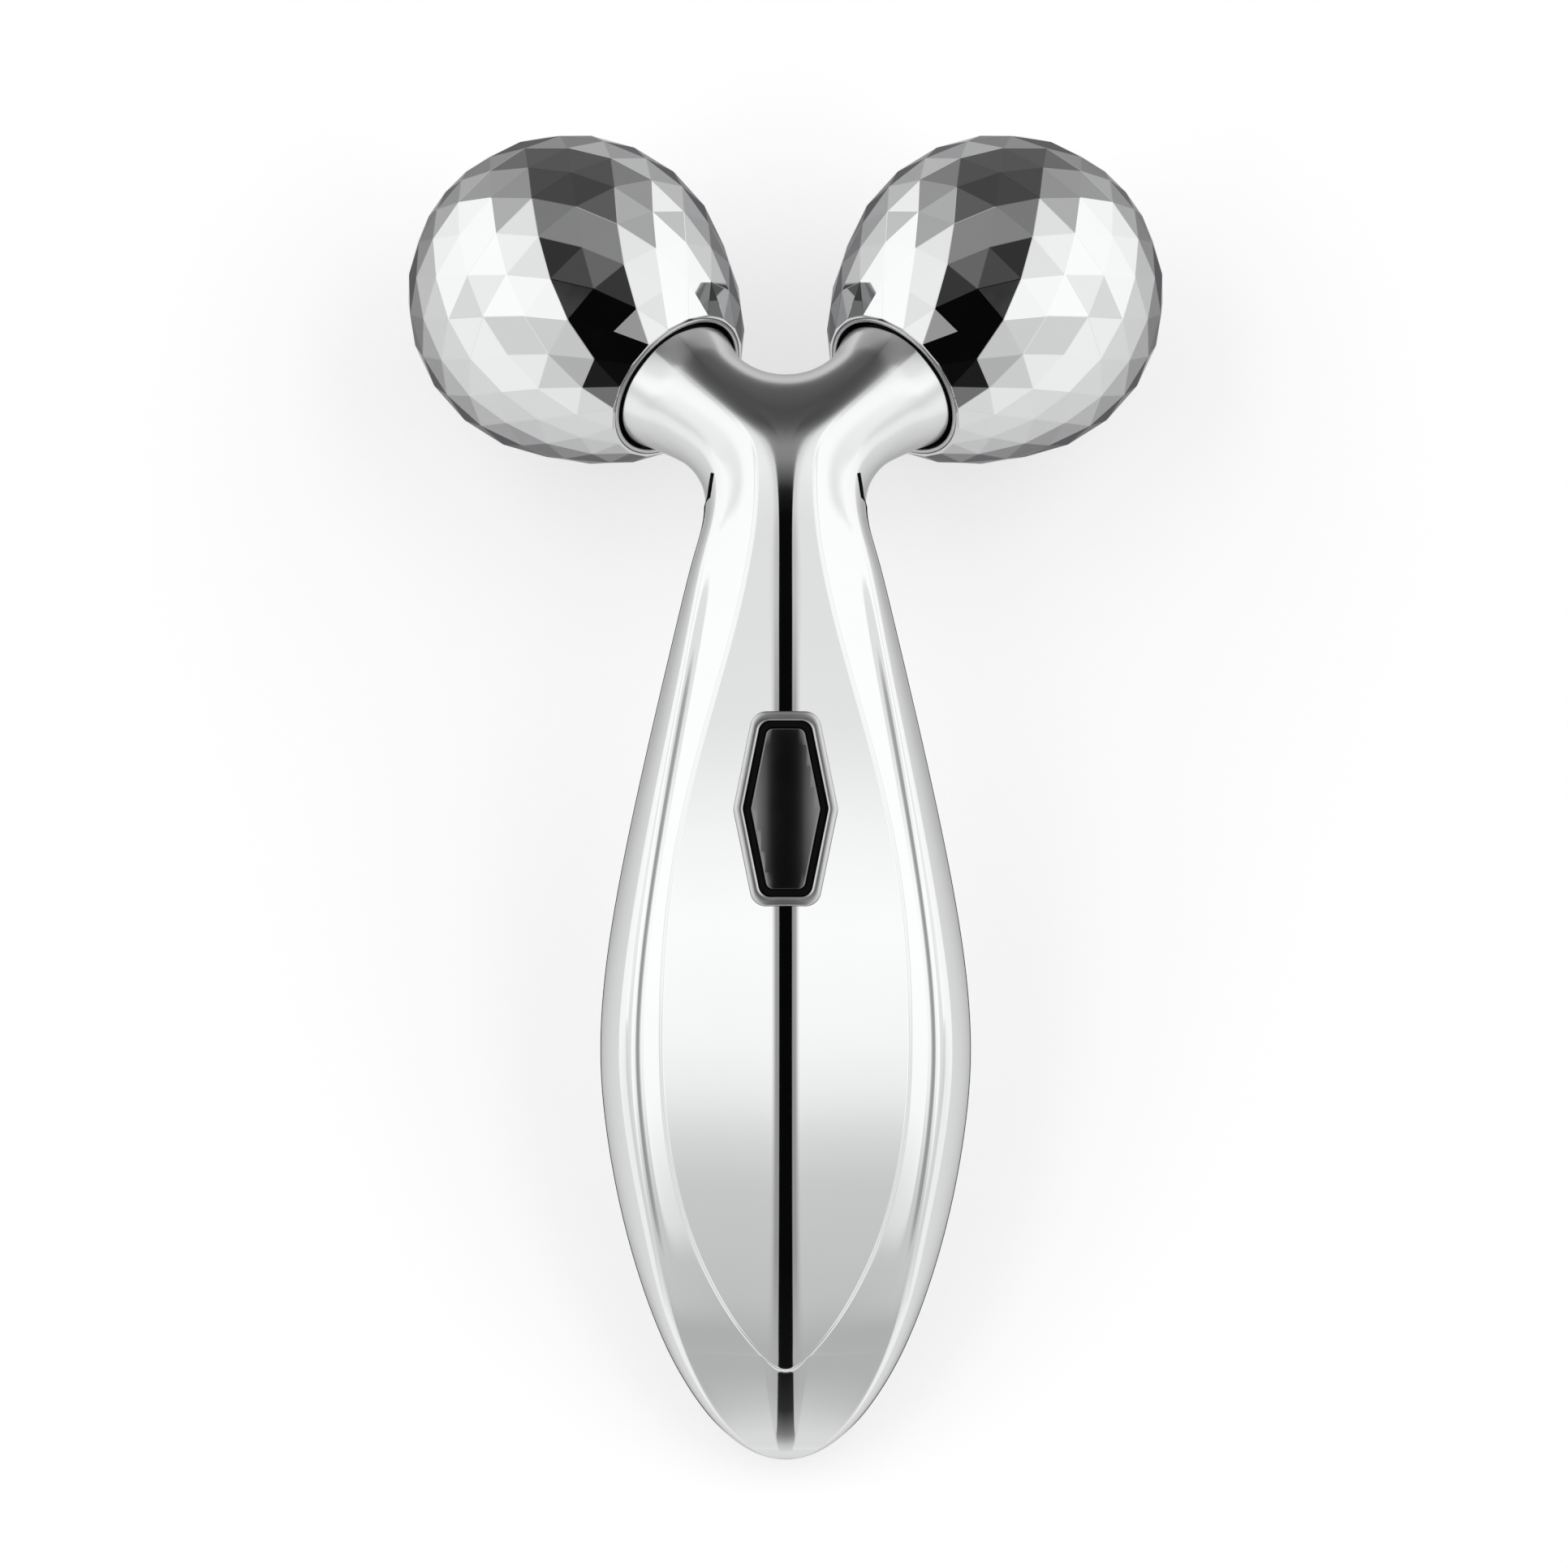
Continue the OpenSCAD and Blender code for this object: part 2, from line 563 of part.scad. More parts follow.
module inner_frame()
    color("dimgray") at_rest() difference() {
        union() {
            translate([0, 0, spine_floor]) linear_extrude(spine_t) polygon([
                for (y = spine_ys) [spine_half_w(y), y],
                for (k = [1 : len(spine_ys)]) let (y = spine_ys[len(spine_ys) - k])
                    [-spine_half_w(y), y]]);
            for (y = board_screw_y)
                translate([0, y, spine_top - 0.5])
                cylinder(r = boss_r, h = board_floor - spine_top + 0.5, $fn = round_fn);
            translate(fork_pt - [0, 0, hub_sink]) sphere(r = hub_r, $fn = round_fn);
            for (side = [LEFT, RIGHT]) on_arm(side)
                translate([0, 0, socket_start - ball_reach])
                cylinder(r = socket_r, h = socket_stop - socket_start, $fn = round_fn);
        }
        for (side = [LEFT, RIGHT]) {
            on_arm(side)
                translate([0, 0, axle_start - end_pocket - ball_reach])
                cylinder(d = axle_d + 2 * seat_gap, h = ball_reach, $fn = round_fn);
            mirror([side == LEFT ? 1 : 0, 0, 0])
                rod(lead_end, lead_exit, lead_r + lead_room);
        }
        for (p = frame_screw_at, side = [LEFT, RIGHT])
            translate([side * p[0], p[1], spine_floor - 1])
            cylinder(d = screw_d + 0.3, h = spine_t + 2, $fn = round_fn);
        for (y = board_screw_y)
            translate([0, y, spine_top])
            cylinder(d = screw_d + 2 * seat_gap, h = 10, $fn = round_fn);
    }

// A pan-head screw that points down, with its head's seat at the origin
screw_head_r = 2.3;
screw_head_h = 1.5;
module screw(length)
    difference() {
        union() {
            cylinder(r = screw_head_r, h = screw_head_h, $fn = round_fn);
            translate([0, 0, -length]) cylinder(d = screw_d, h = length + 0.5, $fn = round_fn);
        }
        for (turn = [0, 90]) rotate(turn)
            translate([-1.3, -0.3, screw_head_h - 0.8]) cube([2.6, 0.6, 1]);
    }

module frame_screws()
    color("lightsteelblue") at_rest()
    for (p = frame_screw_at, side = [LEFT, RIGHT])
        translate([side * p[0], p[1], spine_top + seat_gap])
        screw(spine_top - rear_inner_z(p) - 1.5);

module board_screws()
    color("lightsteelblue") at_rest()
    for (y = board_screw_y)
        translate([0, y, board_floor + board_t + 2 * seat_gap]) screw(board_t + 2);

// ---------------------------------------------------------------- window pieces

module window_bezel()
    color("white") at_rest() on_window()
    solid_of(ring_faces([
        lozenge_loop(0, bezel_round, skirt_floor),
        lozenge_on_leaf(0, bezel_round, 0),
        lozenge_on_leaf(bezel_bevel, bezel_round, bezel_bevel),
        lozenge_on_crown(gasket_in - bezel_bevel, bezel_round, bezel_top),
        lozenge_on_crown(gasket_in, bezel_round, bezel_top - bezel_bevel),
        lozenge_loop(gasket_in, bezel_round, cell_floor),
        lozenge_loop(gasket_in + ledge_w, bezel_round, cell_floor),
        lozenge_loop(gasket_in + ledge_w, bezel_round, skirt_floor)]));

module window_gasket()
    color("black") at_rest() on_window()
    solid_of(ring_faces([
        lozenge_loop(gasket_in + seat_gap, bezel_round, lens_floor + seat_gap),
        lozenge_on_crown(gasket_in + seat_gap, bezel_round, lens_top - 0.25),
        lozenge_on_crown(lens_in - seat_gap, bezel_round, lens_top - 0.1),
        lozenge_loop(lens_in - seat_gap, bezel_round, lens_floor + seat_gap)]));

module window_lens()
    color("darkslategray") at_rest() on_window() intersection() {
        lozenge_block(lens_in, bezel_round, lens_floor + seat_gap, lens_top + 1);
        translate([0, 0, lens_top - lens_round]) rotate([90, 0, 0])
            cylinder(r = lens_round, h = 2 * bezel_l, center = true, $fn = round_fn);
    }

module solar_cell()
    color("midnightblue") at_rest() on_window()
    lozenge_block(gasket_in + seat_gap, bezel_round, cell_floor + seat_gap, lens_floor);

// ---------------------------------------------------------------- electronics

module circuit_board()
    color("darkgreen") at_rest() difference() {
        translate([-board_w / 2, board_mid_y - board_l / 2, board_floor + seat_gap])
            cube([board_w, board_l, board_t]);
        for (y = board_screw_y)
            translate([0, y, board_floor - 1])
            cylinder(d = screw_d + 0.3, h = board_t + 2, $fn = round_fn);
    }

chip_w = 0.3 * board_w;
part_h = 1.2;
socket_l = 4;             // of the leads' connectors
parts_at = 0.33 * board_w;

module part_block(x, y, w, l)
    translate([x - w / 2, y - l / 2, 0]) cube([w, l, part_h]);
module board_parts()
    color("black") at_rest() translate([0, board_mid_y, board_floor + board_t + 2 * seat_gap]) {
        part_block(0, -board_l / 8, chip_w, chip_w);
        translate([-parts_at, -board_l / 4, 0]) cylinder(r = chip_w / 3, h = part_h, $fn = round_fn);
        for (side = [LEFT, RIGHT]) {
            part_block(side * parts_at, board_l / 8, chip_w / 2, chip_w / 3);
            part_block(side * parts_at, lead_start_y - board_mid_y - socket_l / 2, chip_w / 1.6, socket_l);
        }
    }

// Routes from the board's connectors, over the spine's end, to the axles
lead_sides = 8;
// Points on the way: distance from the middle, share of the way, height
lead_way = [[5.5, 0.06, 4], [5.6, 0.16, 3.9], [5.2, 0.29, 3.7], [4.4, 0.43, 3.5],
    [3.5, 0.56, 3.5], [2.8, 0.69, 3.5], [2.6, 0.79, 3.4]];
lead_route = [[5.3, lead_start_y + 0.1, 4],
    for (p = lead_way) [p[0], lerp(lead_start_y, fork_y, p[1]), p[2]], lead_exit, lead_end];
function ring_at(c, dir) =
    let (n = unit(dir), u = unit(cross(n, [0, 0, 1])), v = cross(u, n))
    [for (k = [0 : lead_sides - 1]) let (a = 360 * k / lead_sides)
        c + lead_r * (cos(a) * u + sin(a) * v)];
function tube_faces(path) =
    let (n = len(path), rings = [for (k = [0 : n - 1])
        ring_at(path[k], path[min(k + 1, n - 1)] - path[max(k - 1, 0)])])
    concat(
        [for (k = [0 : n - 2]) let (a = rings[k], b = rings[k + 1])
            each strip([each a, a[0]], [each b, b[0]])],
        turned(fan(rings[0], path[0])), fan(rings[n - 1], path[n - 1]));
module lead(side)
    color("firebrick") at_rest() mirror([side == LEFT ? 1 : 0, 0, 0])
    solid_of(tube_faces(lead_route));

// ---------------------------------------------------------------- pieces on each arm

module arm_cap(side)
    color("black") at_rest() on_arm(side) difference() {
        union() {
            translate([0, 0, mouth_z + cap_gap])
                cylinder(r = cap_flange_r, h = cap_flange_t, $fn = round_fn);
            translate([0, 0, socket_stop - ball_reach + seat_gap])
                cylinder(r = arm_r - wall - 0.1, h = mouth_z - socket_stop + ball_reach + 1, $fn = round_fn);
            translate([0, 0, mouth_z + 1]) cylinder(r = nose_r, h = nose_stop - mouth_z - 1, $fn = round_fn);
        }
        translate([0, 0, -ball_reach])
            cylinder(d = axle_d + 2 * seat_gap, h = ball_reach, $fn = round_fn);
    }

module axle(side)
    color("lightgray") at_rest() on_arm(side) rotate_extrude($fn = round_fn) polygon([
        [0, axle_start - ball_reach], [axle_d / 2, axle_start - ball_reach],
        [axle_d / 2, clip_z - 0.05], [groove_r, clip_z - 0.05],
        [groove_r, clip_z + clip_t + 0.05], [axle_d / 2, clip_z + clip_t + 0.05],
        [axle_d / 2, axle_stop - 0.5], [axle_d / 2 - 0.5, axle_stop], [0, axle_stop]]);

module seal_ring(side)
    color("black") at_rest() on_arm(side) rotate_extrude($fn = round_fn) polygon([
        [nose_r + seat_gap, seal_z], [rim_r - rim_wall - seal_gap - 0.5, seal_z],
        [rim_r - rim_wall - seal_gap, seal_z + 0.4], [rim_r - rim_wall - seal_gap, seal_z + seal_t],
        [nose_r + seat_gap, seal_z + seal_t]]);

module bush(side, z, flange)
    color("goldenrod") at_rest() on_arm(side) rotate_extrude($fn = round_fn) polygon([
        [axle_d / 2 + run_gap, z], [flange ? bush_flange_r : bush_r - 0.3, z],
        [flange ? bush_flange_r : bush_r, z + (flange ? 0 : 0.3)],
        [flange ? bush_flange_r : bush_r, z + bush_flange_t], [bush_r, z + bush_flange_t],
        [bush_r, z + bush_l], [axle_d / 2 + run_gap, z + bush_l]]);
module inner_bush(side) bush(side, inner_bush_z, true);
module outer_bush(side) bush(side, outer_bush_z, false);

// An open ring that snaps into the axle's groove
module retaining_clip(side)
    color("silver") at_rest() on_arm(side) difference() {
        translate([0, 0, clip_z]) cylinder(r = clip_r, h = clip_t, $fn = round_fn);
        translate([0, 0, clip_z - 1]) cylinder(r = groove_r + seat_gap, h = clip_t + 2, $fn = round_fn);
        translate([0, -groove_r * 0.8, clip_z - 1]) cube([clip_r + 1, groove_r * 1.6, clip_t + 2]);
    }

module ball_core(side)
    color("slategray") at_rest() on_arm(side) difference() {
        intersection() {
            sphere(r = cavity_r - seat_gap, $fn = 96);
            translate([0, 0, core_front]) cylinder(r = ball_r, h = 2 * ball_r, $fn = round_fn);
        }
        translate([0, 0, core_front - 1])
            cylinder(r = bush_r + press_gap, h = bore_stop - core_front + 1, $fn = round_fn);
        translate([0, 0, core_front - 1])
            cylinder(r = bush_flange_r + seat_gap,
                h = inner_bush_z + bush_flange_t + seat_gap - core_front + 1, $fn = round_fn);
    }

module ball_shell(side)
    color("whitesmoke") at_rest() on_arm(side) difference() {
        solid_of(ball_faces(facet_phase(side)));
        sphere(r = cavity_r, $fn = 96);
        translate([0, 0, mouth_z - 1]) cylinder(r = rim_r + seat_gap, h = mouth_h - 10, $fn = round_fn);
    }

module ball_rim(side)
    color("white") at_rest() on_arm(side) rotate_extrude($fn = round_fn) polygon([
        [rim_r - rim_wall, core_front - 0.4], [rim_r - rim_wall, mouth_z + 0.1],
        [rim_r - rim_wall + 0.15, mouth_z - rim_lip], [rim_r - 0.15, mouth_z - rim_lip],
        [rim_r, mouth_z + 0.1], [rim_r, core_front - 0.4]]);

// ---------------------------------------------------------------- assembly

front_shell();
rear_shell();
inner_frame();
frame_screws();
window_bezel();
window_gasket();
window_lens();
solar_cell();
circuit_board();
board_parts();
board_screws();
lead(LEFT);  // lead_left
lead(RIGHT);  // lead_right
arm_cap(LEFT);  // arm_cap_left
arm_cap(RIGHT);  // arm_cap_right
axle(LEFT);  // axle_left
axle(RIGHT);  // axle_right
seal_ring(LEFT);  // seal_ring_left
seal_ring(RIGHT);  // seal_ring_right
inner_bush(LEFT);  // inner_bush_left
inner_bush(RIGHT);  // inner_bush_right
outer_bush(LEFT);  // outer_bush_left
outer_bush(RIGHT);  // outer_bush_right
retaining_clip(LEFT);  // retaining_clip_left
retaining_clip(RIGHT);  // retaining_clip_right
ball_core(LEFT);  // ball_core_left
ball_core(RIGHT);  // ball_core_right
ball_shell(LEFT);  // ball_shell_left
ball_shell(RIGHT);  // ball_shell_right
ball_rim(LEFT);  // ball_rim_left
ball_rim(RIGHT);  // ball_rim_right
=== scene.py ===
# %% [markdown]
# # A two-ball facial roller in mirror plating
# The roller is a Y-shaped handle of two plated half shells with two faceted balls on
# its arms. A lozenge window over a solar cell sits in the front. This lesson dresses
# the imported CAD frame: what shows gets a finer mesh and a finish, and what is hidden
# inside keeps its CAD mesh and gets a finish of its own.

# %% Load the frame
import json
import math

import bmesh
import bpy
from mathutils import Matrix, Vector
from mathutils.bvhtree import BVHTree
from mathutils.interpolate import poly_3d_calc


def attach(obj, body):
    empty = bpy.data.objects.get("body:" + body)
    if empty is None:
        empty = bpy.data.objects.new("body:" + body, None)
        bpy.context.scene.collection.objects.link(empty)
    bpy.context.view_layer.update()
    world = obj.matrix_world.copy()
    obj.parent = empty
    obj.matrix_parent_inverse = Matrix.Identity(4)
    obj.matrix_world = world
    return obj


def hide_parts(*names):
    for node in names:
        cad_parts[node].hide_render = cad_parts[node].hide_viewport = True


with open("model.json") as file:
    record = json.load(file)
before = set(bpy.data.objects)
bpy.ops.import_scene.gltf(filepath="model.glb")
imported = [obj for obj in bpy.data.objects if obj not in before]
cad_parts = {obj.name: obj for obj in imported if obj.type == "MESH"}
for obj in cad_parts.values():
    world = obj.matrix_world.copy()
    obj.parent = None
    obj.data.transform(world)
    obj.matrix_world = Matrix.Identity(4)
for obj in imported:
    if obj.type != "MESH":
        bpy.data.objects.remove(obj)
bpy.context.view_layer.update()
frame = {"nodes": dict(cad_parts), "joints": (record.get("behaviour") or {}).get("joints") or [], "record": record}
nodes = frame["nodes"]
MM = 0.001

# %% [markdown]
# ## The handle's own frame
# The roller lies on the table with its tail down, so its handle is tilted. It could be
# shaped as it lies, but then every height would mix with the tilt. So it is shaped in a
# frame of its own, in millimetres from the tail tip: X to the right, Y up the handle, Z
# out of the window. The joint of the right ball says how that frame lies in the model,
# because the fork's angles are known in both.

# %% From the handle's frame to the model
FORK_Y = 121.2
FORK_HALF = math.radians(38.5)
FORK_LEAN = math.radians(48.1)
BALL_REACH = 42.9
fork_pt = Vector((0, FORK_Y, 0))
fork_mid = Vector((0, math.cos(FORK_LEAN), -math.sin(FORK_LEAN)))
fork_up = Vector((0, math.sin(FORK_LEAN), math.cos(FORK_LEAN)))
right_way = Vector((1, 0, 0))
arm_dir = math.sin(FORK_HALF) * right_way + math.cos(FORK_HALF) * fork_mid
arm_out = math.cos(FORK_HALF) * right_way - math.sin(FORK_HALF) * fork_mid

spin = next(j for j in frame["joints"] if j["name"] == "right_roller_spin")
spin_at, spin_axis = Vector(spin["pos_m"]), Vector(spin["axis"])
tilt = math.atan2(spin_axis.z, spin_axis.y) + FORK_LEAN
turn = Matrix.Rotation(tilt, 4, "X")
ball_at = (fork_pt + BALL_REACH * arm_dir) * MM
to_model = Matrix.Translation(spin_at - turn @ ball_at) @ turn @ Matrix.Scale(MM, 4)
print("tilt", round(math.degrees(tilt), 3), "tail tip at", to_model @ Vector((0, 0, 0)))

# %% [markdown]
# ## The camera
# The roller is seen square-on from its window side. A near camera would make the balls
# look small, because they lie deeper than the handle. A long lens from far away keeps
# them at their true size.

# %% Place the camera
VIEW_WIDTH = 193.2
VIEW_MIDDLE = (-0.2, 83.3)
CAMERA_FAR = 6000
SENSOR = 36


def in_scene(name, data):
    made = bpy.data.objects.new(name, data)
    bpy.context.scene.collection.objects.link(made)
    return made


camera = in_scene("camera", bpy.data.cameras.new("camera"))
camera.data.sensor_width = SENSOR
camera.data.lens = SENSOR * CAMERA_FAR / VIEW_WIDTH
camera.data.clip_end = 50
camera.location = to_model @ Vector((*VIEW_MIDDLE, CAMERA_FAR))
camera.rotation_euler = (tilt, 0, 0)
bpy.context.scene.camera = camera
bpy.context.scene.view_settings.view_transform = "Standard"
print("lens", round(camera.data.lens))

# %% [markdown]
# ## Small helpers for node trees
# Every finish is a node tree. One helper makes a node, sets its inputs and links any
# input that is given as another node's output.

# %% Make and link nodes
def add_node(tree, kind, inputs=None, **settings):
    made = tree.nodes.new(kind)
    for name, value in settings.items():
        setattr(made, name, value)
    for key, value in (inputs or {}).items():
        if isinstance(value, bpy.types.NodeSocket):
            tree.links.new(value, made.inputs[key])
        else:
            made.inputs[key].default_value = value
    return made


def maths(tree, operation, *values):
    return add_node(tree, "ShaderNodeMath", dict(enumerate(values)), operation=operation).outputs[0]


def product(tree, a, b):
    return maths(tree, "MULTIPLY", a, b)


def smooth_step(tree, value, low, high):
    made = add_node(tree, "ShaderNodeMapRange", {0: value, 1: low, 2: high},
                    interpolation_type="SMOOTHSTEP")
    return made.outputs[0]


def mix(tree, share, a, b):
    made = add_node(tree, "ShaderNodeMix", {0: share}, data_type="RGBA")
    tree.links.new(a, made.inputs[6])
    tree.links.new(b, made.inputs[7])
    return made.outputs[2]

# %% [markdown]
# Tones are easiest to judge as they look on a screen, from 0 for black to 255 for white.
# Lights need linear values, so each tone is turned into the light that gives it.

# %% Screen tones as light
def tone(level):
    """A screen tone from 0 to 255 as the linear light that gives it."""
    share = level / 255
    return share / 12.92 if share < 0.04 else ((share + 0.055) / 1.055) ** 2.4


def tone_ramp(tree, value, low, high, stops):
    """Screen tones along a value that runs from low to high."""
    share = add_node(tree, "ShaderNodeMapRange", {0: value, 1: low, 2: high}).outputs[0]
    made = add_node(tree, "ShaderNodeValToRGB", {0: share})
    bar = made.color_ramp
    while len(bar.elements) < len(stops):
        bar.elements.new(0.5)
    for element, (place, level) in zip(bar.elements, stops):
        element.position = (place - low) / (high - low)
        element.color = (*[tone(level)] * 3, 1)
    return made.outputs[0]


print("middle grey is", round(tone(128), 3), "of the light of white")

# %% [markdown]
# ## The studio
# Mirror plating shows the room and little else, so the room is the main finish. It could
# be built from lamps and cards. Here it is drawn in the world, where each tone can be
# set by its direction: two wide light panels with a narrow dark slot between them, right
# above the handle. The slot shows as the black line along the keel. The tones run over
# two angles: how far to the side a direction points, and how far it leans up or down
# the handle.

# %% The two angles of a direction
world = bpy.data.worlds.new("studio")
bpy.context.scene.world = world
world.use_nodes = True
room = world.node_tree
room.nodes.clear()
way = add_node(room, "ShaderNodeTexCoord").outputs["Generated"]
way = add_node(room, "ShaderNodeMapping", {0: way, 2: (-tilt, 0, 0)}, vector_type="POINT").outputs[0]
split = add_node(room, "ShaderNodeSeparateXYZ", {0: way})
side = maths(room, "ABSOLUTE", split.outputs[0])
lean = product(room, maths(room, "ARCTAN2", split.outputs[1], split.outputs[2]), 180 / math.pi)
print("room nodes", len(room.nodes))

# %% [markdown]
# Each zone of the room has its own run of tones over the lean, as pairs of an angle in
# degrees and a tone. The slot is black over the handle and grey beyond the fork. Next to
# it lies a grey strip, then the broad light panel that the leaf shows, and then the
# white sides. Far out at the sides a slightly darker horizon rounds off the outline.

# %% The tones of the zones
slot_tones = [(-180, 150), (-105, 150), (-82, 215), (-68, 190), (-58, 120), (-48, 45), (-38, 16),
              (-24, 8), (0, 6), (22, 8), (29, 30), (36, 96), (44, 128), (56, 132), (68, 108),
              (78, 74), (88, 62), (97, 78), (112, 86), (140, 112), (180, 150)]
near_tones = [(-180, 170), (-105, 200), (-82, 226), (-68, 210), (-54, 200), (-44, 172), (-37, 170),
              (-31, 165), (-23, 148), (-12, 148), (5, 150), (14, 160), (24, 205), (40, 214),
              (58, 205), (68, 130), (76, 60), (84, 60), (94, 90), (108, 104), (135, 125), (180, 160)]
flank_tones = [(-180, 200), (-105, 215), (-82, 232), (-68, 226), (-54, 204), (-44, 176), (-37, 174),
               (-30, 190), (-21, 196), (-16, 199), (-12, 214), (-9, 234), (-5, 246), (2, 251), (7, 244),
               (14, 226), (22, 222), (40, 236), (60, 232), (74, 190), (88, 150), (104, 150), (180, 190)]
side_tones = [(-180, 246), (-105, 236), (-80, 236), (-60, 238), (-42, 218), (-31, 206), (-22, 224),
              (-13, 248), (0, 254), (40, 252), (100, 250), (180, 246)]
horizon_tones = [(-180, 170), (-60, 205), (-30, 212), (-12, 222), (-2, 226), (10, 232), (30, 238),
                 (60, 224), (180, 160)]
zones = [slot_tones, near_tones, flank_tones, side_tones, horizon_tones]
slot_light, near_light, flank_light, side_light, horizon_light = [
    tone_ramp(room, lean, -180, 180, stops) for stops in zones]
print("tones over", sum(len(stops) for stops in zones), "stops")

# %% [markdown]
# The zones blend into each other at angles to the side. The slot's edge is sharp, so its
# line on the keel is sharp, and the other edges are soft. The plating takes a third of
# the light, and the room's strength makes up for it. The camera sees plain white.

# %% Join the zones
SLOT_EDGE = (15.6, 16.8)
NEAR_EDGE = (20.5, 27)
FLANK_EDGE = (36.5, 41)
HORIZON_FROM = (57, 64)
HORIZON_TO = (84, 88)
HORIZON_LEAN = (50, 75)
PLATING = 0.66
ROOM_STRENGTH = 1 / PLATING


def past(edge):
    low, high = [math.sin(math.radians(degrees)) for degrees in edge]
    return smooth_step(room, side, low, high)


def rest_of(share):
    return maths(room, "SUBTRACT", 1, share)


light = mix(room, past(SLOT_EDGE), slot_light, near_light)
light = mix(room, past(NEAR_EDGE), light, flank_light)
light = mix(room, past(FLANK_EDGE), light, side_light)
across = product(room, past(HORIZON_FROM), rest_of(past(HORIZON_TO)))
upright = product(room, smooth_step(room, lean, -HORIZON_LEAN[1], -HORIZON_LEAN[0]),
                  rest_of(smooth_step(room, lean, *HORIZON_LEAN)))
light = mix(room, product(room, across, upright), light, horizon_light)
seen = add_node(room, "ShaderNodeLightPath").outputs["Is Camera Ray"]
panels = add_node(room, "ShaderNodeBackground", {0: light, 1: ROOM_STRENGTH})
plain = add_node(room, "ShaderNodeBackground", {0: (1, 1, 1, 1), 1: 1.0})
both = add_node(room, "ShaderNodeMixShader", {0: seen, 1: panels.outputs[0], 2: plain.outputs[0]})
add_node(room, "ShaderNodeOutputWorld", {0: both.outputs[0]})
print("room strength", round(ROOM_STRENGTH, 3))

# %% [markdown]
# ## The floor
# A plain pale floor carries the roller and keeps its shadow. More light would whiten it,
# but would burn out the roller too. So the floor has a glow of its own that is only seen
# by the camera and in the metal.

# %% Lay the floor
FLOOR_R, FLOOR_PAINT, FLOOR_ROUGH, FLOOR_GLOW = 0.15, 0.6, 0.3, 0.5
paint = bpy.data.materials.new("floor_paint")
paint.use_nodes = True
tree = paint.node_tree
tree.nodes.clear()
matt = add_node(tree, "ShaderNodeBsdfDiffuse", {0: (*[FLOOR_PAINT] * 3, 1), 1: FLOOR_ROUGH})
path = add_node(tree, "ShaderNodeLightPath")
seen = maths(tree, "MAXIMUM", path.outputs["Is Camera Ray"],
             maths(tree, "MAXIMUM", path.outputs["Is Glossy Ray"], path.outputs["Is Transmission Ray"]))
glow = add_node(tree, "ShaderNodeEmission", {0: (1, 1, 1, 1), 1: product(tree, seen, FLOOR_GLOW)})
both = add_node(tree, "ShaderNodeAddShader", {0: matt.outputs[0], 1: glow.outputs[0]})
add_node(tree, "ShaderNodeOutputMaterial", {0: both.outputs[0]})

bm = bmesh.new()
bmesh.ops.create_circle(bm, cap_ends=True, segments=128, radius=FLOOR_R)
floor_mesh = bpy.data.meshes.new("floor")
bm.to_mesh(floor_mesh)
floor = in_scene("floor", floor_mesh)
floor_mesh.materials.append(paint)
print("floor radius", FLOOR_R, "m")

# %% [markdown]
# A wide soft lamp from above brings the light on plain colours up to the level at which
# they look as written. Mirrors don't show it.

# %% Hang the soft lamp
LAMP_POWER, LAMP_SPREAD, LAMP_TURN = 0.6, math.radians(70), math.radians(-8)
overhead = in_scene("overhead", bpy.data.lights.new("overhead", "SUN"))
overhead.data.energy = LAMP_POWER
overhead.data.angle = LAMP_SPREAD
overhead.visible_glossy = False
overhead.rotation_euler = (LAMP_TURN, 0, 0)
print("lamp power", LAMP_POWER)

# %% [markdown]
# ## Finishes
# Plating and moulded plastic are never quite even: their gloss and shade vary softly,
# and moulded pieces have a fine grain. A picture could carry that, but a noise that
# reads the object's own coordinates fits any piece without unwrapping. Where the noise
# is squeezed one way, it gives streaks.

# %% A maker for metal and moulded finishes
NOISE_LOW, NOISE_HIGH = 0.3, 0.7


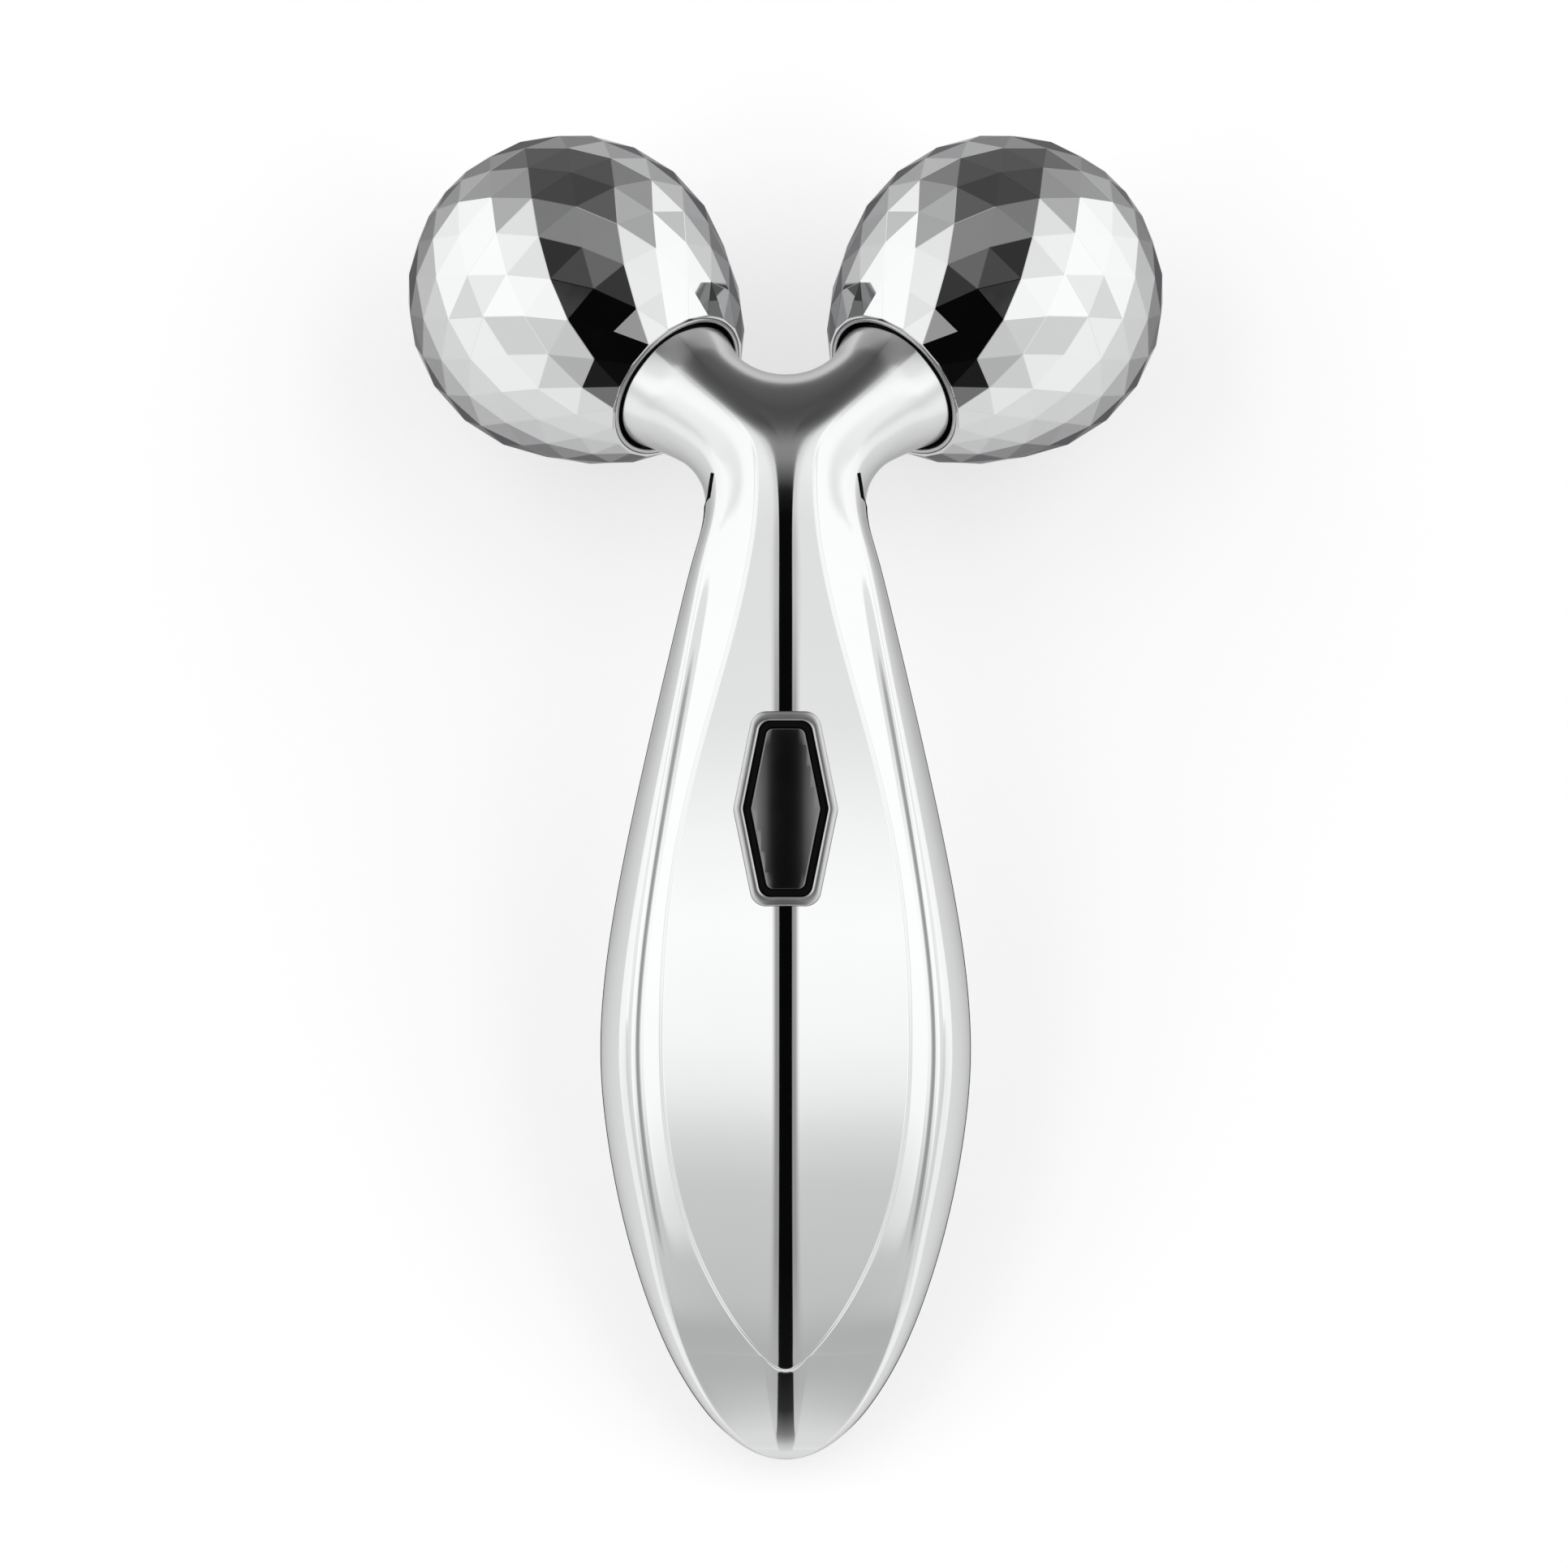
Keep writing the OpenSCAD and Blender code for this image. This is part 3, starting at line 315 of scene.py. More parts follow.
def finish_of(name, colour, metal, gloss_low, gloss_high, grain, ripple=0.0, depth=0.0,
              stretch=(1, 1, 1), shade=0.06, softer=None, **extra):
    """A finish with uneven gloss, a slight change of shade and, if wanted, a fine ripple."""
    made = bpy.data.materials.new(name)
    made.use_nodes = True
    tree = made.node_tree
    shader = tree.nodes["Principled BSDF"]
    where = add_node(tree, "ShaderNodeTexCoord").outputs["Object"]
    where = add_node(tree, "ShaderNodeMapping", {0: where, 3: stretch}).outputs[0]
    noise = add_node(tree, "ShaderNodeTexNoise", {"Vector": where, "Scale": grain, "Detail": 4})
    roughness = add_node(tree, "ShaderNodeMapRange", {0: noise.outputs[0], 1: NOISE_LOW, 2: NOISE_HIGH,
                                                      3: gloss_low, 4: gloss_high}).outputs[0]
    if softer:
        low, high, more = softer
        up = add_node(tree, "ShaderNodeSeparateXYZ", {0: where}).outputs[1]
        added = product(tree, smooth_step(tree, up, low, high), more)
        roughness = maths(tree, "ADD", roughness, added)
    tree.links.new(roughness, shader.inputs["Roughness"])
    tint = add_node(tree, "ShaderNodeValToRGB", {0: noise.outputs[0]})
    darker, lighter = tint.color_ramp.elements
    darker.position, lighter.position = NOISE_LOW, NOISE_HIGH
    darker.color = (*[c * (1 - shade) for c in colour], 1)
    lighter.color = (*colour, 1)
    tree.links.new(tint.outputs[0], shader.inputs["Base Color"])
    if ripple:
        fine = add_node(tree, "ShaderNodeTexNoise", {"Vector": where, "Scale": ripple, "Detail": 2})
        bump = add_node(tree, "ShaderNodeBump", {"Strength": 0.5, "Distance": depth,
                                                 "Height": fine.outputs[0]})
        tree.links.new(bump.outputs[0], shader.inputs["Normal"])
    shader.inputs["Metallic"].default_value = metal
    for key, value in extra.items():
        shader.inputs[key].default_value = value
    return made


print("noise is read from", NOISE_LOW, "to", NOISE_HIGH)

# %% [markdown]
# The handle and the balls are plated like mirrors, and the bezel and the rims are satin.
# Plating looks a little darker edge-on, which a tint of the specular edge gives. The
# handle's gloss softens over the fork, where the real polish is softer.

# %% The plated finishes
EDGE_TINT = {"Specular Tint": (0.15, 0.15, 0.155, 1)}
SHELL_TINT = {"Specular Tint": (0.6, 0.6, 0.605, 1)}
SATIN, SOFTER_FORK = 0.8, 0.18
soft_from = (to_model @ Vector((0, 115, 6))).y
soft_to = (to_model @ Vector((0, 129, 0))).y
chrome = (PLATING, PLATING * 1.004, PLATING * 1.01)
satin = [SATIN * level for level in chrome]
plated_shell = finish_of("plated_shell", chrome, 1, 0.03, 0.06, 90, shade=0.01,
                         softer=(soft_from, soft_to, SOFTER_FORK), **SHELL_TINT)
plated_trim = finish_of("plated_trim", satin, 1, 0.33, 0.39, 200, shade=0.01, **EDGE_TINT)
plated_ball = finish_of("plated_ball", chrome, 1, 0.02, 0.05, 120, shade=0.01, **EDGE_TINT)
print("gloss softens from y", round(soft_from, 4), "to", round(soft_to, 4))

# %% [markdown]
# The rest is rubber, dark glass, moulded plastic, a circuit board and turned metal. The
# record names a slot for each CAD node, and the slot picks the finish.

# %% All other finishes
recipes = {  # colour, metal, roughness low and high, grain, ripple and its depth
    "frame_plastic": ((0.2, 0.2, 0.21), 0, 0.45, 0.6, 300, 1500, 2e-5),
    "core_plastic": ((0.45, 0.46, 0.48), 0, 0.4, 0.55, 300, 1500, 2e-5),
    "black_plastic": ((0.02, 0.02, 0.021), 0, 0.35, 0.5, 400, 2500, 1e-5),
    "black_rubber": ((0.003, 0.003, 0.003), 0, 0.45, 0.6, 500, 3000, 1e-5),
    "smoked_lens": ((0.001, 0.001, 0.0012), 0, 0.17, 0.2, 200),
    "cell": ((0.02, 0.02, 0.06), 0, 0.12, 0.2, 300),
    "board": ((0.02, 0.2, 0.08), 0, 0.35, 0.5, 500, 2500, 1e-5),
    "chips": ((0.05, 0.05, 0.055), 0, 0.5, 0.65, 500, 3000, 1e-5),
    "lead_sleeve": ((0.45, 0.03, 0.03), 0, 0.4, 0.5, 300, 2000, 1e-5),
    "axle_steel": ((0.7, 0.71, 0.72), 1, 0.16, 0.28, 400),
    "screw_steel": ((0.62, 0.63, 0.65), 1, 0.22, 0.36, 600, 2500, 1e-5),
    "bush_brass": ((0.78, 0.6, 0.28), 1, 0.2, 0.32, 500),
}
special = {
    "black_rubber": {"Specular IOR Level": 0.06}, "smoked_lens": {"IOR": 2.4},
    "cell": {"stretch": (1, 12, 1)}, "axle_steel": {"stretch": (1, 8, 8)},
    "bush_brass": {"stretch": (1, 6, 6)},
}
finishes = {"plated_shell": plated_shell, "plated_trim": plated_trim, "plated_ball": plated_ball}
for name, recipe in recipes.items():
    finishes[name] = finish_of(name, *recipe, **special.get(name, {}))
slot_of = {part["node"]: part["material_slot"] for part in frame["record"]["subparts"]}
for name, obj in nodes.items():
    obj.data.materials.clear()
    obj.data.materials.append(finishes[slot_of[name]])
print("finishes", len(finishes))

# %% [markdown]
# ## The handle as one lofted skin
# The real handle is moulded as a front and a rear half, but its surface runs through
# both. Two separate lofts would meet in a kink, so the outer skin is shaped once and
# split later. A half section is laid as a chain of points and extruded from the tail to
# the fork and on along an arm. First come the sizes and the helpers for the curves.

# %% Driving sizes and curve helpers
BELLY_W, BELLY_Y, BELLY_ROUND, NECK_W = 23, 49.9, 19.2, 9
CROWN_H, BOW_R, BOW_Y = 13, 260, 62
RIDGE_H, RIDGE_BOW_R = 1.2, 1630
REAR_BELLY, REAR_NECK = 12.5, 9
LEAF_W, LEAF_NECK_W, LEAF_TIP_W, LEAF_TIP_Y, LEAF_STEP = 15.4, 3.6, 2.6, 11.1, 0.3
LEAF_SLOPE, KEEL_ROUND = 0.31, 1.3
NECK_Y = FORK_Y - 11


def clamp(t):
    return max(0.0, min(1.0, t))


def lerp(a, b, t):
    return a + (b - a) * t


def ease(t):
    t = clamp(t)
    return t * t * (3 - 2 * t)


print("belly", 2 * BELLY_W, "mm wide at", BELLY_Y, "mm")

# %% [markdown]
# The outline is a rounded tail up to the belly, and a hyperbola from there that runs
# out into the straight neck. The tail's roundness is a superellipse, whose power says
# how blunt it is: blunt for the front and the rear, more pointed for the outline.

# %% Width of the handle
OUTLINE_POWER, FRONT_POWER, REAR_POWER = 1.6, 3.6, 3


def tail_round(y, power):
    return math.sqrt(max(0, 1 - clamp(1 - y / BELLY_Y) ** power))


def belly_run(y):
    return math.hypot(y - BELLY_Y, BELLY_ROUND) - BELLY_ROUND


TAPER = (BELLY_W - NECK_W) / belly_run(FORK_Y)


def half_w(y):
    if y < BELLY_Y:
        return BELLY_W * tail_round(y, OUTLINE_POWER)
    return BELLY_W - TAPER * belly_run(y)


print("half width at the neck", round(half_w(NECK_Y), 2))

# %% [markdown]
# The handle is bowed along its length. The leaf on its front falls to both sides like a
# roof with a rounded keel, and the widest line lies well below it.

# %% Heights of the handle
def leaf_fall(x):
    return LEAF_SLOPE * (x - KEEL_ROUND * (1 - math.exp(-x / KEEL_ROUND)))


def crown_z(y):
    return CROWN_H - (y - BOW_Y) ** 2 / (2 * BOW_R)


def ridge_z(y):
    return RIDGE_H - (y - BOW_Y) ** 2 / (2 * RIDGE_BOW_R)


def front_top(y):
    return ridge_z(y) + (crown_z(y) - ridge_z(y)) * tail_round(y, FRONT_POWER)


def rear_depth(y):
    to_neck = ease((y - BELLY_Y) / (NECK_Y - BELLY_Y))
    return tail_round(y, REAR_POWER) * lerp(REAR_BELLY, REAR_NECK, to_neck)


print("keel at", CROWN_H, "mm and widest line at", RIDGE_H, "mm at the middle")

# %% [markdown]
# The leaf is an inset outline with a step of a third of a millimetre round it. It is
# widest at the belly, narrows in a soft wave to the neck and ends in a point near the
# tail. Its sides sag towards the tail there, so that the tip is drawn as an arc.

# %% Width of the leaf
TIP_SAG, TIP_REACH = 1.8, 11
NECK_WAVE, TIP_ROUND, TIP_POINT = 1.3, 2.15, 0.75


def leaf_w(y):
    if y > BELLY_Y:
        up = clamp((y - BELLY_Y) / (FORK_Y - BELLY_Y))
        return lerp(LEAF_W, LEAF_NECK_W, (1 - math.cos(math.pi * up ** NECK_WAVE)) / 2)
    low = LEAF_TIP_Y + TIP_SAG
    if y > low:
        down = (BELLY_Y - y) / (BELLY_Y - LEAF_TIP_Y)
        return max(LEAF_TIP_W, LEAF_W * (1 - down ** TIP_ROUND) ** TIP_POINT)
    return LEAF_TIP_W * half_w(y) / half_w(low)


print("leaf half width beside the window", round(leaf_w(83), 2))

# %% [markdown]
# The columns of a half section are crowded where the surface turns quickly: at the
# keel, on both sides of the leaf's step and at the crease, a narrow shelf that mirrors
# the grey strip beside the slot. The places are in millimetres at the keel, the step and
# the shelf, in degrees at the rear and shares of the run elsewhere.

# %% Columns of a half section
KEEL = [0, 0.4, 0.9, 1.5, 2.4]
LEAF = [0.3, 0.55, 0.78]
STEP_IN = [0.9, 0.35, 0.13]
STEP_OUT = [0.13, 0.35]
BORDER = [0.45]
SHELF = [-1, -0.55, 0, 0.55]
FLANK = [0.07, 0.3, 0.58, 0.82, 1]
REAR = [6, 15, 30, 45, 60, 75, 90]
KEEL_ROOM, STEP_ROOM, SHELF_ROOM = 6, 3, 12  # in less width than this, columns draw together
LEAF_COLUMNS = len(KEEL) + len(LEAF) + len(STEP_IN)
RIDGE_COLUMN = LEAF_COLUMNS + len(STEP_OUT) + len(BORDER) + len(SHELF) + len(FLANK) - 1


def leaf_xs(x1):
    """Places across a leaf of half width x1, drawn together where the leaf is narrow."""
    near, far = min(1, x1 / KEEL_ROOM), min(1, x1 / STEP_ROOM)
    inner, outer = KEEL[-1] * near, x1 - STEP_IN[0] * near
    return ([x * near for x in KEEL] + [lerp(inner, outer, f) for f in LEAF]
            + [outer, x1 - STEP_IN[1] * far, x1 - STEP_IN[2] * far])


print("leaf columns", LEAF_COLUMNS, "and widest line at column", RIDGE_COLUMN)

# %% [markdown]
# Outside the leaf a border falls to the crease, and a rounded flank falls from there to
# the widest line. The crease fades out at the tail and towards the neck, so its share
# changes up the handle. So do the border's slope and the flank's fullness.

# %% What changes along the crease
CREASE_PLACE, LEAF_LIMIT, SHELF_HALF, SHELF_SLOPE = 0.8, 0.7, 0.7, 0.178
TAIL_SLOPE, BORDER_SLOPE, SLOPE_RUN = 0.31, 0.45, 26
CREASE_Y, CREASE_RUN = 15, 16
NECK_FADE_Y, NECK_CREASE = 96, 0.2
BELLY_FULL, NECK_FULL, FULL_Y, FULL_RUN = 0.6, 0.73, 55, 30


def border_slope(y):
    return lerp(TAIL_SLOPE, BORDER_SLOPE, ease((y - CREASE_Y) / SLOPE_RUN))


def crease_share(y):
    fade = lerp(1, NECK_CREASE, ease((y - NECK_FADE_Y) / CREASE_RUN))
    return ease((y - CREASE_Y) / CREASE_RUN) * fade


def flank_fullness(y):
    return lerp(BELLY_FULL, NECK_FULL, ease((y - FULL_Y) / FULL_RUN))


print("crease share at the belly", crease_share(BELLY_Y), "and neck", crease_share(NECK_Y))

# %% [markdown]
# One smooth curve would lose the step and the crease. So a section is put together from
# the leaf, the border with its shelf, the flank and the rounded rear. In the names, 1 is
# the leaf's edge and c is the crease.

# %% One half section
SAG_AT_CREASE, SAG_AT_RIDGE, FLANK_BEND = 0.7, 1.3, 0.75
BORDER_LIMIT, BORDER_RATE = 0.55, 3.6
TAIL_CLEAR, CLEAR_RUN = 0.06, 8  # keeps the tail's end inside the frame's box


def bent(a, b, c, t):
    """A quadratic curve from a to c that is drawn towards b."""
    return (1 - t) ** 2 * a + 2 * t * (1 - t) * b + t * t * c


def section(y, rise):
    sag = TIP_SAG * (1 - ease(abs(y - LEAF_TIP_Y) / TIP_REACH))
    y_leaf, y_ridge = y + sag, y + SAG_AT_RIDGE * sag
    w = half_w(y_ridge)
    x1, xc = min(leaf_w(y_leaf), LEAF_LIMIT * w), CREASE_PLACE * w
    far, narrow, reach = min(1, x1 / STEP_ROOM), min(1, w / SHELF_ROOM), xc - x1
    base, deep, slope, crease = ridge_z(y_ridge), rear_depth(y_ridge), border_slope(y), crease_share(y)

    row = []
    for x in leaf_xs(x1):
        y_here = y + (x / x1) ** 2 * sag
        row.append(Vector((x, y_here, front_top(y_here) - leaf_fall(x) + rise)))

    h1 = front_top(y_leaf) - ridge_z(y_leaf) - leaf_fall(x1)
    fall = min(h1 * BORDER_LIMIT * (1 - math.exp(-BORDER_RATE * reach / w)), slope * reach) / reach
    shelf_fall = lerp(fall, min(fall, SHELF_SLOPE), crease)
    half = SHELF_HALF * narrow
    border_end = xc + SHELF[0] * narrow
    for x in ([x1 + d * far for d in STEP_OUT] + [lerp(x1, border_end, t) for t in BORDER]
              + [xc + d * narrow for d in SHELF]):
        height = h1 - fall * (x - x1) + (fall - shelf_fall) * max(0, x - (xc - half))
        on_way = SAG_AT_CREASE * min(1, (x - x1) / reach)
        row.append(Vector((x, lerp(y_leaf, y_ridge, on_way), base + height)))

    start = (xc + half, h1 - fall * (reach - half) - shelf_fall * 2 * half)
    bend = (lerp(start[0], w, FLANK_BEND),
            lerp(start[1] - slope * FLANK_BEND * (w - start[0]), start[1] * flank_fullness(y), crease))
    for t in FLANK:
        on_way = lerp(SAG_AT_CREASE, 1, t)
        row.append(Vector((bent(start[0], bend[0], w, t), lerp(y_leaf, y_ridge, on_way),
                           base + bent(start[1], bend[1], 0, t))))
    for degrees in REAR:
        a = math.radians(degrees)
        row.append(Vector((0 if degrees == 90 else w * math.cos(a), lerp(y_ridge, y, degrees / 90),
                           base - deep * math.sin(a))))
    for p in row:
        p.y += TAIL_CLEAR * (1 - ease(y / CLEAR_RUN))
    return row


print("points in a half section", len(section(BELLY_Y, LEAF_STEP)))

# %% [markdown]
# Each column goes on round the arm at an angle of its own, counted from the arm's front
# over its outer side to its rear. The inner half of the arm has columns of its own,
# which start in the crotch.

# %% Where each column runs on the arm
LEAF_ANGLES = [0, 7.5, 15, 22]
STEP_ANGLES, BORDER_ANGLES, SHELF_ANGLES, FLANK_ANGLES = [24, 26], [38], [51, 55, 58.5, 62], [63, 76, 90]


def along(t, places, values):
    for k in range(len(places) - 1):
        if t <= places[k + 1]:
            return lerp(values[k], values[k + 1], (t - places[k]) / (places[k + 1] - places[k]))
    return values[-1]


neck_x1 = leaf_w(NECK_Y)
OUTER_ANGLES = ([along(x / neck_x1, [0, 0.25, 0.62, 1], LEAF_ANGLES) for x in leaf_xs(neck_x1)]
                + STEP_ANGLES + BORDER_ANGLES + SHELF_ANGLES
                + [along(t, [0, 0.5, 1], FLANK_ANGLES) for t in FLANK] + [90 + d for d in REAR])
INNER_ANGLES = list(range(195, 360, 15))
print("columns outside", len(OUTER_ANGLES), "and inside", len(INNER_ANGLES))

# %% [markdown]
# ## The fork
# At the fork the handle's section opens into the two arms. A boolean would join them in
# hard edges, so the surface flows instead. The loop where handle and arms meet runs
# round the neck on its outer half and through the crotch on its inner half.

# %% The loop in the fork and the rings of an arm
ARM_R, ARM_END_R, ARM_START, ARM_STOP, FLARE_FROM, FLARE_POWER = 7.1, 8.8, 17.2, 21.45, 13, 1.8
CROTCH_REACH, WEB_FRONT, WEB_REAR, WEB_REAR_REACH = 15.9, 6.9, 7.3, 11.2
FORK_FLAT, SHOULDER_HANG, WEB_SWELL = 0.75, 2.3, 1.5
SHOULDER = fork_pt + Vector((half_w(FORK_Y - 1.5) + 0.6, -1.4, -4))


def loop_point(degrees):
    a = math.radians(degrees)
    if degrees <= 180:
        front = fork_pt + WEB_FRONT * fork_up
        rear = fork_pt + WEB_REAR_REACH * fork_mid - WEB_REAR * fork_up
        mid = (front + rear) / 2
        lift = math.cos(a) ** FORK_FLAT if degrees < 90 else math.cos(a)
        p = mid + lift * (front - rear) / 2 + math.sin(a) * (SHOULDER - mid)
        if degrees < 90:
            hang = math.sin(a) ** SHOULDER_HANG
            p.y = mid.y + lift * (front.y - rear.y) / 2 + hang * (SHOULDER.y - mid.y)
        return Vector((0 if degrees in (0, 180) else p.x, p.y, p.z))
    if degrees < 270:
        return (fork_pt + fork_up * math.cos(a) * WEB_REAR
                + fork_mid * lerp(WEB_REAR_REACH, CROTCH_REACH, -math.sin(a)))
    return (fork_pt + fork_up * (math.cos(a) * WEB_FRONT - math.sin(2 * a) * WEB_SWELL)
            - fork_mid * math.sin(a) * CROTCH_REACH)


def arm_radius(s):
    return lerp(ARM_R, ARM_END_R, clamp((s - FLARE_FROM) / (ARM_STOP - FLARE_FROM)) ** FLARE_POWER)


def arm_ring(s, angles, radius=None):
    """Points round the right arm at a distance s from the fork."""
    r = arm_radius(s) if radius is None else radius
    turns = [math.radians(degrees) for degrees in angles]
    return [fork_pt + s * arm_dir + r * (math.cos(a) * fork_up + math.sin(a) * arm_out) for a in turns]


loop_row = [loop_point(d) for d in OUTER_ANGLES]
full_loop = loop_row + [loop_point(d) for d in INNER_ANGLES]
first_ring = arm_ring(ARM_START, OUTER_ANGLES + INNER_ANGLES)
print("loop points", len(full_loop), "arm end radius", ARM_END_R)

# %% [markdown]
# A smooth curve carries each column from the neck to the loop, and another from the loop
# to the first round ring of the arm. The leaf's step fades out on the way.

# %% Rows from the tail to the fork
TAIL_YS = [0.05, 0.2, 0.45, 0.8, 1.3, 2, 3, 4.4, 6.2, 8.2, 9.8, 10.6, 11.02]
LEAF_YS = [11.18, 11.4, 12, 13.5, 16, 19.5, 24, 29, 35, 42, 49, 56, 63, 70, 77, 84, 91, 98, 104, NECK_Y]
BLEND_SHARES = (1 / 3, 2 / 3)
BLEND_RISES, LOOP_RISE = (1, 0.85), 0.4
OPEN_X = 9  # a column this far from the middle runs freely into its arm
KEEL_X = 6  # closer to the middle than this, the keel stays sharp until shortly before the fork


def hermite(p, q, u, v, t):
    return ((2 * t ** 3 - 3 * t ** 2 + 1) * p + (t ** 3 - 2 * t ** 2 + t) * u
            + (3 * t ** 2 - 2 * t ** 3) * q + (t ** 3 - t ** 2) * v)


def leaf_rise(row, share):
    """Raises the leaf's columns where the step fades out towards the arm."""
    up = (Vector((0, 0, 1)) + fork_up).normalized() * LEAF_STEP * share
    return [p + up if j < LEAF_COLUMNS else p for j, p in enumerate(row)]


plain_neck = section(NECK_Y, 0)
before_neck = section(LEAF_YS[-2], 0)
blend_rows = []
for share in BLEND_SHARES:
    row = []
    for j, (b, c) in enumerate(zip(plain_neck, loop_row)):
        gap = (c - b).length
        go = (first_ring[j] - b).normalized()
        go.x *= ease(c.x / OPEN_X)
        p = hermite(b, c, (b - before_neck[j]).normalized() * gap, go.normalized() * gap, share)
        if j < RIDGE_COLUMN:
            neck_drop, loop_drop = b.z - plain_neck[0].z, c.z - loop_row[0].z
            late = 3 * share ** 2 - 2 * share ** 3 - share ** 2.6
            p.z += (1 - ease(c.x / KEEL_X)) * late * (neck_drop - loop_drop)
        in_middle = j in (0, len(loop_row) - 1)
        row.append(Vector((0, p.y, p.z)) if in_middle else p)
    blend_rows.append(row)
handle_rows = ([section(y, 0) for y in TAIL_YS] + [section(y, LEAF_STEP) for y in LEAF_YS]
               + [leaf_rise(row, share) for row, share in zip(blend_rows, BLEND_RISES)]
               + [leaf_rise(loop_row, LOOP_RISE)])
print("rows up the handle", len(handle_rows))

# %% [markdown]
# The arm flares towards the ball and ends in a short rounded lip. Behind the lip the cap
# of the CAD closes it, so the skin only has to turn in.

# %% Rows along an arm
FLARE_RINGS = [18.6, 19.8, 20.7, 21.2]
LIP_RINGS = [(0.07, 0.03), (0, 0.1), (0, 0.7), (0.25, 0.9)]  # back from the arm's end, in from its radius
arm_rows = []
for t in BLEND_SHARES:
    row = []
    for j, (b, e) in enumerate(zip(full_loop, first_ring)):
        gap = (e - b).length
        leave = right_way * gap
        if j < len(loop_row):
            share = ease(b.x / OPEN_X) if j < RIDGE_COLUMN else 1
            leave = arm_dir.lerp((e - plain_neck[j]).normalized(), share).normalized() * gap
        row.append(hermite(b, e, leave, arm_dir * gap, t))
    arm_rows.append(row)
arm_rows.append(first_ring)
arm_rows += [arm_ring(s, OUTER_ANGLES + INNER_ANGLES) for s in FLARE_RINGS]
arm_rows += [arm_ring(ARM_STOP - back, OUTER_ANGLES + INNER_ANGLES, ARM_END_R - inward)
             for back, inward in LIP_RINGS]
print("rows along an arm", len(arm_rows))

# %% [markdown]
# ## The skin
# The rows could be filled with faces one by one. An extrusion is shorter: it makes a
# strip of faces up to the next row, and the new points are moved to their places. A face
# remembers by its material number whether it belongs to the front or the rear shell.

# %% Extruding from row to row
FRONT, REAR_SIDE = 0, 1


def chain_edges(bm, chain, closed=False):
    pairs = list(zip(chain, chain[1:])) + ([(chain[-1], chain[0])] if closed else [])
    return [bm.edges.get(pair) or bm.edges.new(pair) for pair in pairs]


def extrude_row(bm, chain, edges, points, paint_of):
    """Extrudes a chain of vertices to the next row of points."""
    place = {v: k for k, v in enumerate(chain)}
    made = bmesh.ops.extrude_edge_only(bm, edges=edges)["geom"]
    fresh = [None] * len(chain)
    for v in (g for g in made if isinstance(g, bmesh.types.BMVert)):
        old = next(e.other_vert(v) for e in v.link_edges if e.other_vert(v) in place)
        fresh[place[old]] = v
        v.co = points[place[old]]
    for f in (g for g in made if isinstance(g, bmesh.types.BMFace)):
        ks = sorted(place[v] for v in f.verts if v in place)
        f.material_index = paint_of(ks[0] if ks[1] - ks[0] == 1 else ks[1])
        f.smooth = True
    return fresh


def handle_side(k):
    return FRONT if k < RIDGE_COLUMN else REAR_SIDE


def arm_side(k):
    return REAR_SIDE if RIDGE_COLUMN <= k < len(OUTER_ANGLES) + INNER_ANGLES.index(270) else FRONT


print("front faces between two rows", RIDGE_COLUMN)

# %% [markdown]
# The first chain of points lies in the tail tip. It grows row by row up to the fork,
# takes in the crotch there and goes on along the right arm. Then the half is mirrored.

# %% Extrude the half skin and mirror it
bm = bmesh.new()
chain = [bm.verts.new((0, TAIL_CLEAR, ridge_z(0))) for _ in OUTER_ANGLES]
edges = chain_edges(bm, chain)
for row in handle_rows:
    chain = extrude_row(bm, chain, edges, row, handle_side)
    edges = chain_edges(bm, chain)
chain = chain + [bm.verts.new(p) for p in full_loop[len(chain):]]
edges = chain_edges(bm, chain, True)
for row in arm_rows:
    chain = extrude_row(bm, chain, edges, row, arm_side)
    edges = chain_edges(bm, chain, True)
bmesh.ops.remove_doubles(bm, verts=bm.verts, dist=1e-4)
bmesh.ops.mirror(bm, geom=bm.verts[:] + bm.edges[:] + bm.faces[:], axis="X", merge_dist=1e-4)
bmesh.ops.recalc_face_normals(bm, faces=bm.faces)
bmesh.ops.transform(bm, matrix=to_model, verts=bm.verts)
print("cage faces", len(bm.faces))

# %% [markdown]
# This cage is coarse. Two steps of subdivision smooth it, and the result is kept as a
# plain mesh that can be split.

# %% Smooth the skin
def object_of(bm, name, paints=()):
    mesh = bpy.data.meshes.new(name)
    bm.to_mesh(mesh)
    bm.free()
    for paint in paints:
        mesh.materials.append(paint)
    return in_scene(name, mesh)


def applied(obj):
    """Keeps the shape that the modifiers give, and drops the modifiers."""
    graph = bpy.context.evaluated_depsgraph_get()
    mesh = bpy.data.meshes.new_from_object(obj.evaluated_get(graph))
    obj.modifiers.clear()
    obj.data = mesh
    return obj


skin = object_of(bm, "handle_skin", [plated_shell, plated_shell])
smooth = skin.modifiers.new("smooth", "SUBSURF")
smooth.levels = smooth.render_levels = 2
applied(skin)
print("skin faces", len(skin.data.polygons))

# %% [markdown]
# ## The two shells
# The skin is split along its widest line, where the real shells part, and each half gets
# a wall, as a moulded shell has.

# %% Split the skin
SHELL_WALL = 0.8


def copy_of(mesh):
    bm = bmesh.new()
    bm.from_mesh(mesh)
    return bm


def part_of(source, name, index):
    bm = copy_of(source.data)
    bmesh.ops.delete(bm, geom=[f for f in bm.faces if f.material_index != index], context="FACES")
    for f in bm.faces:
        f.material_index = 0
    made = object_of(bm, name, [plated_shell])
    wall = made.modifiers.new("wall", "SOLIDIFY")
    wall.thickness = SHELL_WALL * MM
    wall.offset = -1
    return applied(made)


front = part_of(skin, "front_half", FRONT)
rear = part_of(skin, "rear_half", REAR_SIDE)
print("front", len(front.data.polygons), "rear", len(rear.data.polygons))

